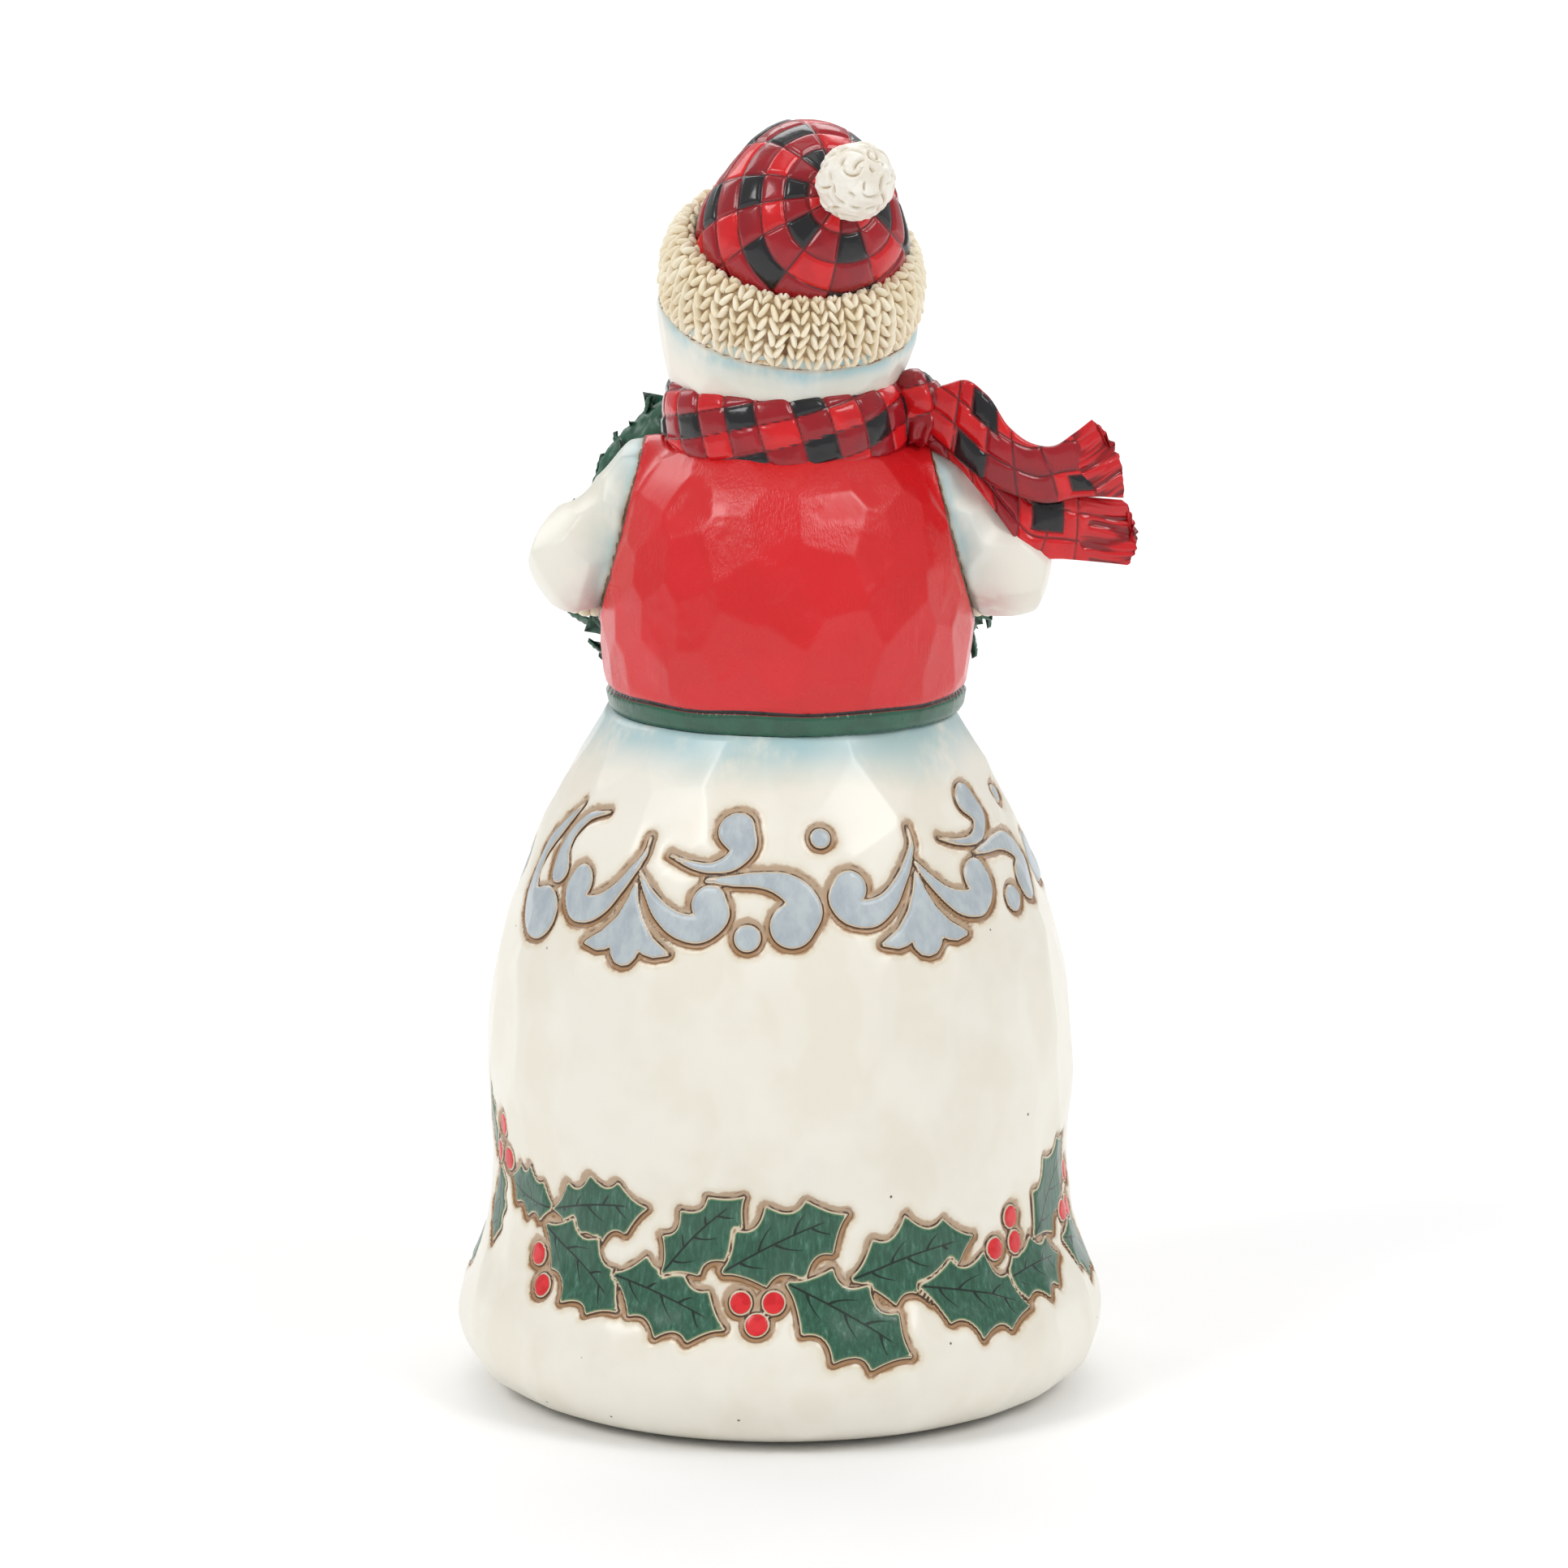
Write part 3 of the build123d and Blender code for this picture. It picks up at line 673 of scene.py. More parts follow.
def holly_outline(length, half, seed):
    """A holly leaf from (0, 0) to (length, 0): spines joined by hollow curves."""
    vary = np.random.default_rng(seed).uniform(0.9, 1.1, 8)
    side = [(0.0, 0.04), (0.21, 0.8 * vary[0]), (0.49, 1.0 * vary[1]), (0.77, 0.72 * vary[2]), (1.0, 0.0)]
    other = [
        (0.0, -0.04), (0.25, -0.8 * vary[3]), (0.53, -1.02 * vary[4]), (0.79, -0.68 * vary[5]), (1.0, 0.0)
    ]
    corners = side + other[::-1][1:]
    out = []
    for (ax, ay), (bx, by) in zip(corners, corners[1:] + corners[:1]):
        mx, my = (ax + bx) / 2, (ay + by) / 2 * 0.4
        for t in np.linspace(0, 1, 8)[:-1]:
            k, m, n = (1 - t) ** 2, 2 * t * (1 - t), t * t
            out.append((k * ax + m * mx + n * bx, k * ay + m * my + n * by))
    return np.array(out) * [length, half]


# Holly on the lower body, the same on front and back: where each leaf starts and ends, as degrees and
# height.
HOLLY = [
    (-75, 45, -75, 30), (-81, 46, -85, 61), (-50.5, 41.5, -67.5, 44.5), (-50.5, 41.5, -27, 45),
    (-52, 38, -31, 25.5), (-33, 32, -10, 24.5), (-23, 33.5, -7, 48.5), (-11, 34.5, 13, 45),
    (14, 33, 40.5, 38), (2, 32.5, 24, 18.5),
    (73, 31, 95, 23.5), (47.5, 28.5, 69, 29), (28, 30.5, 53, 23), (59.5, 34.5, 81.5, 49),
]
HOLLY_BERRIES = [
    (-7.3, 29.2), (-1.2, 29.3), (-4.2, 25.4), (51.9, 39.7), (46, 34.8), (52.6, 34.8), (-53.8, 32.4),
    (-51, 27.2),
    (-72.6, 53.2), (-76.2, 47.2), (-69.5, 47.2), (75.7, 35.8), (80.5, 35.6), (84.5, 41.5),
]

# The scroll band as brush strokes, in rows (right, up, radius): half of a drop's pair of curls, then what
# joins two drops.
CURL = [
    (0.4, -0.4, 0.15), (3.2, -4.4, 0.8), (6.7, -7.9, 1.55), (10.8, -9.9, 2.25), (14.6, -9.8, 2.6),
    (16.7, -7.5, 2.8), (15.3, -5.2, 3.15),
]
STEM = [
    (-0.2, 6.2, 0.1), (-0.1, 3.0, 0.35), (-1.5, -0.6, 0.7), (-3.9, -4.3, 1.1), (-7.0, -7.6, 1.75),
    (-10.6, -9.2, 2.4), (-14.0, -8.7, 2.6), (-15.3, -6.4, 2.75), (-13.9, -4.3, 3.05),
]
COMMA = [
    (6.4, 3.3, 0.12), (10.8, 1.9, 0.5), (15.4, 1.6, 0.8), (18.8, 3.0, 1.5), (20.4, 5.5, 2.1),
    (18.6, 9.1, 3.2),
]
HOOK = [
    (14.4, -0.9, 0.1), (19.6, -0.7, 0.8), (24.0, -0.4, 1.25), (28.4, -1.2, 1.9), (32.0, -3.6, 2.5),
    (33.4, -6.4, 2.8), (31.0, -9.0, 4.0),
]
REED = [(-14.0, 9.3, 0.1), (-19.0, 7.2, 0.7), (-22.8, 2.2, 1.3), (-22.6, -2.2, 2.2), (-21.8, -3.6, 2.6)]
REED_TALL = [
    (-24.2, 9.6, 0.1), (-28.2, 3.6, 0.9), (-31.2, -2.0, 1.4), (-31.4, -7.6, 1.9), (-28.0, -12.4, 3.6),
    (-23.4, -12.7, 4.9),
]
DOTS = [(36.6, 7.4, 1.75), (22.6, -11.4, 2.3)]
DROP_HALF = [
    (0, -2.6), (1.1, -6.0), (3.0, -9.6), (5.9, -12.8), (9.6, -15.3), (6.6, -16.0), (4.6, -15.6),
    (3.2, -14.8), (2.8, -16.4), (1.6, -17.7),
]
DROP = np.array(DROP_HALF + [(0, -18.1)] + [(-x, y) for x, y in DROP_HALF[:0:-1]])
# Where the drops hang, in degrees; how far over the band's own line; and how far right their wave is, if
# reeds don't follow.
DROPS = [(-34.5, -0.8, 0), (33, 1.0, 2.6), (106, 0, None), (178, 0.6, 1.5), (251, -0.4, None)]
BAND_Z, BAND_R = 108.0, 47.0
BERRY_R = 2.05


def carve(field, shape, gap=0.95):
    """Adds a shape to a field of shapes, with a groove round it where they overlap."""
    return np.minimum(np.maximum(field, gap - shape), shape)


def carve_scroll(sheet, scroll, wobble, first):
    for i, (degrees, lift, wave) in enumerate(DROPS):
        following = DROPS[(i + 1) % len(DROPS)][0] + (360 if i == len(DROPS) - 1 else 0)
        shapes = [(CURL, degrees), (STEM, degrees), (DROP, degrees)]
        if wave is not None:
            right = degrees + np.degrees(wave / BAND_R)
            shapes += [(COMMA, right), (HOOK, right), (DOTS[:1], right), (DOTS[1:], right)]
        else:
            shapes += [(REED_TALL, following), (REED, following)]
        for rows, origin in shapes:
            rows = np.asarray(rows, float)
            drop = rows.shape[1] == 2
            line = rows if drop or len(rows) == 1 else curve_through(rows, 40)
            middle = (line[:, 0].min() + line[:, 0].max()) / 2
            where, x, y = sheet.local(origin + np.degrees(middle / BAND_R), BAND_Z + lift, 27, first)
            x = x + middle
            d = outline_distance(x, y, line) if drop else stroke_distance(x, y, line)
            scroll[where] = carve(scroll[where], d + wobble[where])


def build_lower_body():
    foot = np.array(
        [(48.18 + 14.02 * sin(radians(a)), 14.5 - 14.02 * cos(radians(a))) for a in np.linspace(8, 90, 14)]
    )
    side = curve_through(
        [
            (62.2, 14.5), (61.4, 19), (57.3, 29), (55.2, 42), (56.1, 66), (54.9, 78.8), (50.8, 94.7),
            (44.5, 110.4), (39.2, 119.9), (33.0, WAIST_Z),
        ], 400
    )
    whole = np.concatenate([[(PLATE_R, FLOOR_GAP), (47.0, FLOOR_GAP)], foot, side[1:]])
    along = run_length(whole)
    at_z = lambda z: np.interp(z, side[:, 1], along[-len(side) :])
    rows = np.concatenate([
        np.arange(0, at_z(16), 1.7), np.arange(at_z(16), at_z(62), 0.7), np.arange(at_z(62), at_z(87), 1.8),
        np.arange(at_z(87), at_z(122), 0.6), np.arange(at_z(122), along[-1] - 0.4, 1.0), [along[-1]],
    ])
    profile = np.stack([np.interp(rows, along, whole[:, 0]), np.interp(rows, along, whole[:, 1])], axis=1)
    grid, angle = lathe(profile, 570)
    first = int(np.searchsorted(profile[:, 1], 15))
    sheet = Carved(profile, angle)
    far = np.full(grid.shape[:2], 9.0)
    scroll, leaf, berry = far.copy(), far.copy(), far.copy()
    leaf_x, leaf_y = np.zeros_like(far), np.full_like(far, 9.0)
    wobble = noise(grid, 4, 5) * 0.12
    for turn in (0, 180):
        for i, (from_deg, from_z, to_deg, to_z) in enumerate(HOLLY):
            radius = np.interp((from_z + to_z) / 2, profile[first:, 1], profile[first:, 0])
            dx, dy = (
                radians(to_deg - from_deg) * radius, sheet.arc_at(to_z, first)
                - sheet.arc_at(from_z, first)
            )
            length = sqrt(dx * dx + dy * dy)
            where, x, y = sheet.local(
                (from_deg + to_deg) / 2 + turn, (from_z + to_z) / 2, length * 0.5 + 7, first
            )
            c, s = dx / length, dy / length
            u, v = x * c + y * s + length / 2, -x * s + y * c
            d = outline_distance(u, v, holly_outline(length, length * 0.29, i)) + wobble[where]
            closer = d < 0.4
            leaf_x[where] = np.where(closer, u / length, leaf_x[where])
            leaf_y[where] = np.where(closer, v - 1.0 * np.sin(u / length * 3.0), leaf_y[where])
            leaf[where] = carve(leaf[where], d)
        for degrees, z in HOLLY_BERRIES:
            where, x, y = sheet.local(degrees + turn, z, 9, first)
            d = np.hypot(x, y) - BERRY_R + wobble[where]
            berry[where] = np.minimum(berry[where], d)
            leaf[where] = np.maximum(leaf[where], 0.9 - d)
    carve_scroll(sheet, scroll, wobble, first)
    near = np.minimum(np.minimum(scroll, leaf), berry)
    # How far each place lies below the nearest outline, for the painted shade under each shape.
    under = -np.gradient(near, axis=0) / np.gradient(sheet.along)[:, None]
    cuts = knife(grid, 11.5, (0.0098, 0.0098, 0.0035), 21, soft=0.04, vary=0.13)
    calm = step(0.7, 6, profile[:, 1])[:, None]
    calm = np.clip(1 - step(125, WAIST_Z, profile[:, 1])[:, None] * 0.5, 0, 1) * calm
    groove = (
        -0.66 * np.exp(-(((near - 0.7) / 0.5) ** 2)) - 0.22 * np.exp(-((np.maximum(near, 0) / 2.4) ** 2))
    )
    height = cuts * calm * 0.9 + groove + noise(grid, 30, 3) * 0.3 * calm
    height[:3] = 0
    points = grid + normals_of(grid) * height[..., None]
    points[..., 2] = np.maximum(points[..., 2], FLOOR_GAP)
    z = profile[:, 1][:, None] + 0 * angle
    edge = 123.8 + noise(grid * [1, 1, 0.02], 16, 31, 2) * 2.6
    blue = np.clip(
        step(-4.0, 4.5, z - edge) * 0.55 + step(125.5, 130, z) * 0.3 * (0.6 + 0.4 * noise(grid, 8, 4)), 0, 1
    )
    inner = np.array([(0.3, PLATE_TOP), (43.95, PLATE_TOP), (43.95, 0.62)])
    ring, _ = lathe(inner, 570)
    everything = np.concatenate([ring[1:], points])
    pad = lambda f, v: np.concatenate([np.full((2, f.shape[1]), v), f])
    fields = dict(
        scroll=pad(scroll, 9), leaf=pad(leaf, 9), berry=pad(berry, 9),
        leaf_x=pad(leaf_x, 0), leaf_y=pad(leaf_y, 9),
        ridge=pad(cuts, 0), blue=pad(blue, 0), under=pad(under, 0),
    )
    mesh, faces, fields = capped(everything, (0, 0, PLATE_TOP), (0, 0, WAIST_Z), **fields)
    piece("lower_body_carved", mesh, faces, cream_body, "painted_cream_wood", ["lower_body"], **fields)


# ---------------------------------------------------------------- vest

VEST_PROFILE = [
    (33.2, WAIST_Z + GLUE), (33.9, 134.6), (34.6, 139), (35.2, 144.5), (35.1, 152.5), (33.9, 161),
    (31.2, 170), (27.2, 177.2), (21.0, 182.2), (13.0, NECK_Z),
]


def vest_radius(z):
    fine = curve_through(VEST_PROFILE, 200)
    return np.interp(z, fine[:, 1], fine[:, 0])


def armhole(p):
    """Distance beyond the plane that cuts the vest off round each arm."""
    return (np.abs(p[:, 0] - UPPER_X) + 0.26 * (p[:, 2] - 152.3) - 34.6) / 1.033


def torso_field(p):
    """Distance outside the turned torso, roughly."""
    r = np.hypot(p[:, 0] - UPPER_X, p[:, 1])
    side = (r - vest_radius(p[:, 2])) * np.interp(
        p[:, 2], [WAIST_Z, 160, 172, 180, NECK_Z], [1, 0.97, 0.85, 0.6, 0.3]
    )
    return np.maximum(np.maximum(side, p[:, 2] - NECK_Z), WAIST_Z + GLUE - p[:, 2])


def build_vest():
    def field(p):
        arms = np.minimum(arm_field(1)(p), arm_field(-1)(p)) - 0.35
        return np.maximum(blend(torso_field(p), arms, 3.5), armhole(p))

    points, faces, normal = nets(field, np.array([-38.5, -37, 131.2]), np.array([36, 37, 184.5]), 0.6)
    z = points[:, 2]
    cuts = knife(points, 8.6, (0.0165, 0.0165, 0.0095), 5, soft=0.05, vary=0.14)
    hem_top = 134.9 + noise(points * [1, 1, 0.02], 14, 9) * 0.45
    front = np.abs(points[:, 0] - UPPER_X) - 3.1 + (points[:, 1] > 0) * 90
    band = np.minimum(z - hem_top, np.maximum(front, -9))
    seam = -armhole(points)
    calm = step(0.5, 4, band)
    height = (
        cuts * (0.25 + 0.75 * calm) * 0.9 + step(0.3, -0.3, band) * 0.3
        - 0.5 * np.exp(-(((band - 0.4) / 0.4) ** 2))
    )
    height = height * step(131.2, 132.0, z) * step(0.05, 0.6, seam)
    points = points + normal * height[:, None]
    points[:, 2] = np.maximum(points[:, 2], WAIST_Z + GLUE)
    piece("vest_carved", points, faces, vest_paint, "painted_vest_wood", ["torso"], band=band, seam=seam)


# ---------------------------------------------------------------- arms and mittens


def arm_points(side):
    if side > 0:
        return (24.5, -1, 173), (37.7, -2, 159), (37.0, -31, 151.5), (27, -1, 161)
    return (2 * UPPER_X - 24.5, -1, 173), (-42.1, -2, 158), (2 * UPPER_X - 37, -31, 151.5), (-30.5, -1, 161)


def arm_field(side):
    shoulder, elbow, wrist, pit = arm_points(side)

    def field(p):
        upper = capsule(p, shoulder, elbow, 8.3, 8.7)
        web = blend(capsule(p, pit, elbow, 8.3, 8.3), capsule(p, shoulder, pit, 8.3, 8.3), 3)
        return blend(blend(upper, web, 4), capsule(p, elbow, wrist, 8.5, 6.9), 3)

    return field


def build_arm(side, name):
    field = arm_field(side)
    low = np.array([20, -40, 146]) if side > 0 else np.array([-52.5, -40, 146])
    high = np.array([48, 9, 184]) if side > 0 else np.array([-20, 9, 184])
    inside = lambda p: np.maximum(field(p), -1.2 - armhole(p))
    points, faces, normal = nets(inside, low, high, 0.55)
    cuts = knife(points, 6.6, 0.042, 40 + side, soft=0.05, vary=0.1, stretch=(1, 1.5, 1.3))
    gap = armhole(points)
    points = points + normal * (cuts * 0.75 * step(-0.6, 1.5, gap))[:, None]
    gap = np.where(points[:, 1] < -12, 20, gap)
    tint = step(152, 166, points[:, 2])
    blue = np.exp(-np.maximum(gap, 0) / 3.6) * (0.3 + 0.6 * tint)
    # Painted shade: a pink tint low on the arm beside the vest.
    blush = step(156.5, 151.5, points[:, 2]) * step(10, 2, gap) * 0.5
    piece(
        name + "_carved", points, faces, cream, "painted_cream_wood", [name], ridge=cuts, blue=blue,
        blush=blush, seam=np.abs(gap),
    )


def build_mitten(side, name):
    flip = lambda v: np.array(v, float) if side > 0 else np.array([2 * UPPER_X - v[0], v[1], v[2]], float)
    centre, root, tip = flip((36.6, -42, 150.5)), flip((35.1, -45, 155.5)), flip((30.1, -50, 159))
    wrist = flip((37.0, -31, 151.5))

    def field(p):
        hand = capsule(p, centre + [0, 1.5, 0], centre + [0, -3, -0.5], 8.6, 8.0)
        thumb = capsule(p, root, tip, 3.2, 2.9)
        return blend(hand, thumb, 1.6)

    points, faces, normal = nets(field, centre - 13, centre + 13, 0.55)
    cuts = knife(points, 5.0, 0.045, 60 + side, soft=0.05, vary=0.08)
    points = points + normal * (cuts * 0.7)[:, None]
    # Painted highlight on the facet ridges and painted shade in the facet hollows.
    ridge = 0.45 + cuts * 0.6
    piece(name + "_carved", points, faces, mitten_paint, "painted_mitten", [name], ridge=ridge)
    # A ribbed cuff where the mitten meets the sleeve.
    way = unit(wrist - centre)
    side_a = unit(np.cross(way, [0, 0, 1.0]))
    side_b = np.cross(side_a, way)
    turn = turns(132)
    loop = turns(22)
    ribs = 0.35 * np.abs(np.cos(turn * 11))[None]
    radius = 7.1 + (1.35 + ribs) * np.cos(loop)[:, None]
    offset = 8.2 + (2.3 + ribs * 0.3) * np.sin(loop)[:, None] + 0 * turn
    grid = centre + offset[..., None] * way + radius[..., None] * swing(turn, side_a, side_b)
    hollow = (1 - np.abs(np.cos(turn * 11)))[None] * 0.9 + 0 * offset
    piece(
        name + "_cuff", grid, grid_faces(*grid.shape[:2], True, True), knit, "painted_knit", hollow=hollow
    )


# ---------------------------------------------------------------- head and face


def ball_grid(centre, radius, rows, columns, pole=(0, 0, 1.0)):
    """Rings round a pole, from just above the low end to just below the high end."""
    pole = unit(pole)
    side_a = unit(np.cross(pole, [0, 1, 0.01]))
    side_b = np.cross(pole, side_a)
    up = np.linspace(-pi / 2, pi / 2, rows + 2)[1:-1][:, None]
    turn = turns(columns)[None]
    way = np.sin(up)[..., None] * pole + np.cos(up)[..., None] * swing(turn, side_a, side_b)
    return centre + way * radius, way, pole * radius


def build_head():
    grid, way, pole = ball_grid(HEAD_C, HEAD_R, 130, 210)
    cuts = knife(grid, 8.5, 0.0188, 77, soft=0.05, vary=0.08)
    points = grid + way * (cuts * 0.8)[..., None]
    bottom = NECK_Z + 0.25
    points[..., 2] = np.maximum(points[..., 2], bottom)
    height = (grid - HEAD_C) @ HAT_AXIS
    back = square_to(HAT_AXIS, np.array([0, 1.0, 0]))
    hem = 3.0 + 0.75 * (grid - HEAD_C) @ back / HEAD_R + 0.2
    drop = hem - height + noise(grid, 9, 12, 2) * 0.9
    blue = np.clip(step(8.5, 1.0, drop) * 0.35 + step(3.2, 0.2, drop) * 0.6, 0, 1)
    face = unit(np.array([0, -1.0, 0]))
    cheeks = 0
    for side in (1, -1):
        spot = HEAD_C + HEAD_R * unit([side * sin(radians(33)), -cos(radians(33)), sin(radians(-8))])
        cheeks = cheeks + step(8.5, 1.5, np.linalg.norm(grid - spot, axis=-1))
    blue = blue * (1 - 0.8 * step(0.2, 0.9, way @ face))
    # The seam field follows the cuff's lower edge, where the paint lays a brown painted shadow, and a ring low
    # on the head.
    seam = np.abs(height - hem + 0.1) + 0.05
    seam = np.minimum(seam, np.abs(points[..., 2] - 188.6) + 0.2)
    mesh, faces, fields = capped(
        points, (UPPER_X, 0, bottom), HEAD_C + pole, ridge=cuts, blue=blue,
        blush=np.clip(cheeks, 0, 1) * 0.75, seam=seam,
    )
    piece("head_carved", mesh, faces, cream, "painted_cream_wood", ["head"], **fields)


def on_head(round_angle, up_angle, radius=HEAD_R):
    a, u = radians(round_angle), radians(up_angle)
    return HEAD_C + radius * np.array([sin(a) * cos(u), -cos(a) * cos(u), sin(u)])


def joined(meshes):
    """Several meshes, each (points, faces, ...), as one: points and faces."""
    faces, start = [], 0
    for mesh in meshes:
        faces += [[i + start for i in face] for face in mesh[1]]
        start += len(mesh[0])
    return np.concatenate([mesh[0] for mesh in meshes]), faces


def lumps(name, centres, radius, paint, slot, nodes, rough=0.12, seed=0, rows=18):
    """Several small knife-cut balls in one piece."""
    balls = []
    for i, centre in enumerate(centres):
        grid, _, pole = ball_grid(np.zeros(3), 1.0, rows, rows * 2)
        cuts = knife(grid * 5, 3.2, 0.12, seed + i, soft=0.04, vary=0.05) * rough
        points, faces, _ = capped(grid * (1 + cuts)[..., None], -pole, pole)
        balls.append((np.asarray(centre) + points * radius, faces))
    return piece(name, *joined(balls), paint, slot, nodes)


def build_face():
    eyes = [on_head(17 * s, 14, HEAD_R - 0.3) for s in (1, -1)]
    lumps("coal_eyes_carved", eyes, 1.85, coal_paint, "painted_trim", ["coal_eyes"], seed=90, rough=0.3)
    mouth = [on_head(a, -19 + (a / 24) ** 2 * 5.5, HEAD_R - 0.1) for a in (-24, -12.5, 0, 12.5, 24)]
    lumps("coal_mouth_carved", mouth, 0.95, coal_paint, "painted_trim", ["coal_mouth"], seed=96, rough=0.3)
    # The nose: a whittled carrot with growth rings and a slight droop.
    way = unit(np.array([0, -1, -0.06]))
    root = HEAD_C + [0, -17, 0.6]
    t = np.linspace(0, 1, 60)[:, None]
    turn = turns(48)[None]
    radius = 2.75 * (1 - t) ** 0.75 * (1 + 0.02 * np.cos(turn * 5 + 2)) + 0.35
    radius = radius - 0.22 * np.exp(-(((t * 7) % 1 - 0.5) / 0.13) ** 2) * (np.sin(turn * 2 + t * 23) > -0.2)
    side_a = np.array([1.0, 0, 0])
    side_b = np.cross(way, side_a)
    centre = root + way * (5.4 + 14.9 * t)[..., None] + np.array([0, 0, -0.8]) * (t**2)[..., None]
    grid = centre + radius[..., None] * swing(turn, side_a, side_b)
    mesh, faces, _ = capped(grid, root + way * 5.2, centre[-1, 0] + way * 0.3)
    piece("carrot_nose_carved", mesh, faces, carrot_paint, "painted_nose", ["carrot_nose"])
    # Buttons: domed discs with a rim and two holes.
    buttons = []
    for z, front, lean in ((141, 35.0, -6), (152, 35.15, 3), (163, 33.6, 14)):
        r = np.array([0.01, 0.35, 0.55, 0.8, 1.3, 1.6, 1.8, 2.0, 2.2, 2.3, 2.25, 1.8, 0.5])
        h = np.array([0.85, 0.85, 0.85, 0.85, 0.85, 0.9, 1.05, 1.08, 0.98, 0.7, 0.2, 0.05, 0.05])
        turn = turns(40)
        x, y = r[:, None] * np.cos(turn), r[:, None] * np.sin(turn)
        deep = sum(np.exp(-((x - dx) ** 2 + y**2) / 0.08) for dx in (-0.55, 0.55)) * (h > 0.5)[:, None]
        c, s = cos(radians(lean)), sin(radians(lean))
        out = h[:, None] - 0.4 * deep
        grid = xyz(x, -out * c - y * s, y * c + out * s)
        grid = grid + [UPPER_X, -front - 0.45, z]
        mesh, faces, _ = capped(grid, grid[0].mean(0), grid[-1].mean(0))
        buttons.append((mesh, faces))
    piece("vest_buttons_turned", *joined(buttons), coal_paint, "painted_trim", ["vest_buttons"])


# ---------------------------------------------------------------- hat


def plaid_cells(u, v, pitch_u, pitch_v, blacks=None):
    """A plaid with a line at every whole u and v: fields for its paint.

    blacks lists the black cells, where they're irregular, as middles and half sizes."""
    near = np.minimum(np.abs(np.sin(pi * u)) * pitch_u, np.abs(np.sin(pi * v)) * pitch_v) / pi
    iu, iv = np.floor(u).astype(int), np.floor(v).astype(int)
    black, bright = (iu % 2 == 1) & (iv % 2 == 1), (iu % 2 == 0) & (iv % 2 == 0)
    if blacks is not None:
        bright, black = hashed(iu, iv, 3, 9) > 0.42, False
        for middle_u, middle_v, half_u, half_v in blacks:
            out = np.maximum(
                (np.abs(u - middle_u) - half_u) * pitch_u, (np.abs(v - middle_v) - half_v) * pitch_v
            )
            black = black | (out < 0)
            near = np.where(out < -0.4, -out, np.minimum(near, np.abs(out)))
    zero = np.zeros_like(near)
    return dict(
        near=near, black=black * 1.0, bright=bright * 1.0, shade=hashed(iu, iv, 7, 3), fringe=zero,
        thread=zero,
    )


def plaid_height(cells, depth=0.42, width=0.45):
    """Engraved lines round slightly pillowed cells that lean a little."""
    near = cells["near"]
    lean = (cells["shade"] - 0.5) * 0.3 * step(0.2, 1.0, near)
    return -depth * np.exp(-((near / width) ** 2)) + 0.12 * step(0.3, 2.4, near) + lean


# Round the bobble, in degrees from straight down the back: middles of the black columns, and how wide the
# rings are.
CROWN_COLUMNS = [-160, -104, -53, 12, 86, 142, 200]
RING_SCALE = [
    (-180, 0.86), (-152, 0.86), (-95, 0.93), (-50, 1.05), (12, 1.12), (74, 1.1), (140, 0.95), (180, 0.86)
]
RINGS = [0, 7.0, 12.4, 17.8, 23.2, 29.4, 35.6, 41.0, 46.0, 51.0, 56.0, 62.0, 68.0]


# How far the crown stands out from a ball, as seen from the back: direction to +X and up, height,
# narrowness.
CROWN_BUMPS = [
    (0.76, 0.65, -1.9, 7), (-0.95, 0.31, -0.7, 20), (-0.1, 0.99, 2.0, 4), (-0.97, -0.24, 0.8, 20),
    (0.95, -0.3, 0.5, 12),
]


def crown_radius(way):
    radius = 19.9
    for x, up, high, narrow in CROWN_BUMPS:
        radius = radius + high * np.exp(-narrow * (1 - way @ unit([x, -0.19 * up, 0.98 * up])))
    return radius


def build_crown():
    pole = unit(POMPOM_C - CROWN_C)
    down = np.array([0, 0.19, -0.98])
    side_a = square_to(pole, down)
    side_b = np.cross(pole, side_a)
    rows, columns = 190, 380
    arc = np.linspace(0.02, pi - 0.02, rows)[:, None]
    turn = turns(columns, -pi)[None]
    way = np.cos(arc)[..., None] * pole + np.sin(arc)[..., None] * swing(turn, side_a, side_b)
    base = CROWN_C + way * CROWN_R
    degrees = np.degrees(turn) + noise(base, 12, 51) * 3.5
    around = np.where(degrees < -160, degrees + 360, degrees)
    u = np.interp(around, CROWN_COLUMNS, np.arange(7) * 2 + 1.5)
    scale = np.interp(np.degrees(turn), *np.array(RING_SCALE).T)
    v = np.interp(arc * CROWN_R / scale + noise(base, 9, 52) * 0.7, RINGS, np.arange(len(RINGS)))
    cells = plaid_cells(u, v, 2 * pi * CROWN_R * np.sin(arc) / 12, 5.6)
    cells["black"] = cells["black"] * ~((v > 5) & (around > -75) & (around < 60))
    cuts = knife(base, 5.4, 0.012, 33, soft=0.05, vary=0.12)
    height = plaid_height(cells) + cuts * 0.45
    points = CROWN_C + way * (crown_radius(way) + height)[..., None]
    mesh, faces, fields = capped(points, points[0].mean(0), points[-1].mean(0), **cells)
    piece("hat_crown_carved", mesh, faces, plaid, "painted_plaid", ["hat_crown"], **fields)


STITCH_W, STITCH_H, CUFF_STITCHES = 3.95, 2.95, 39


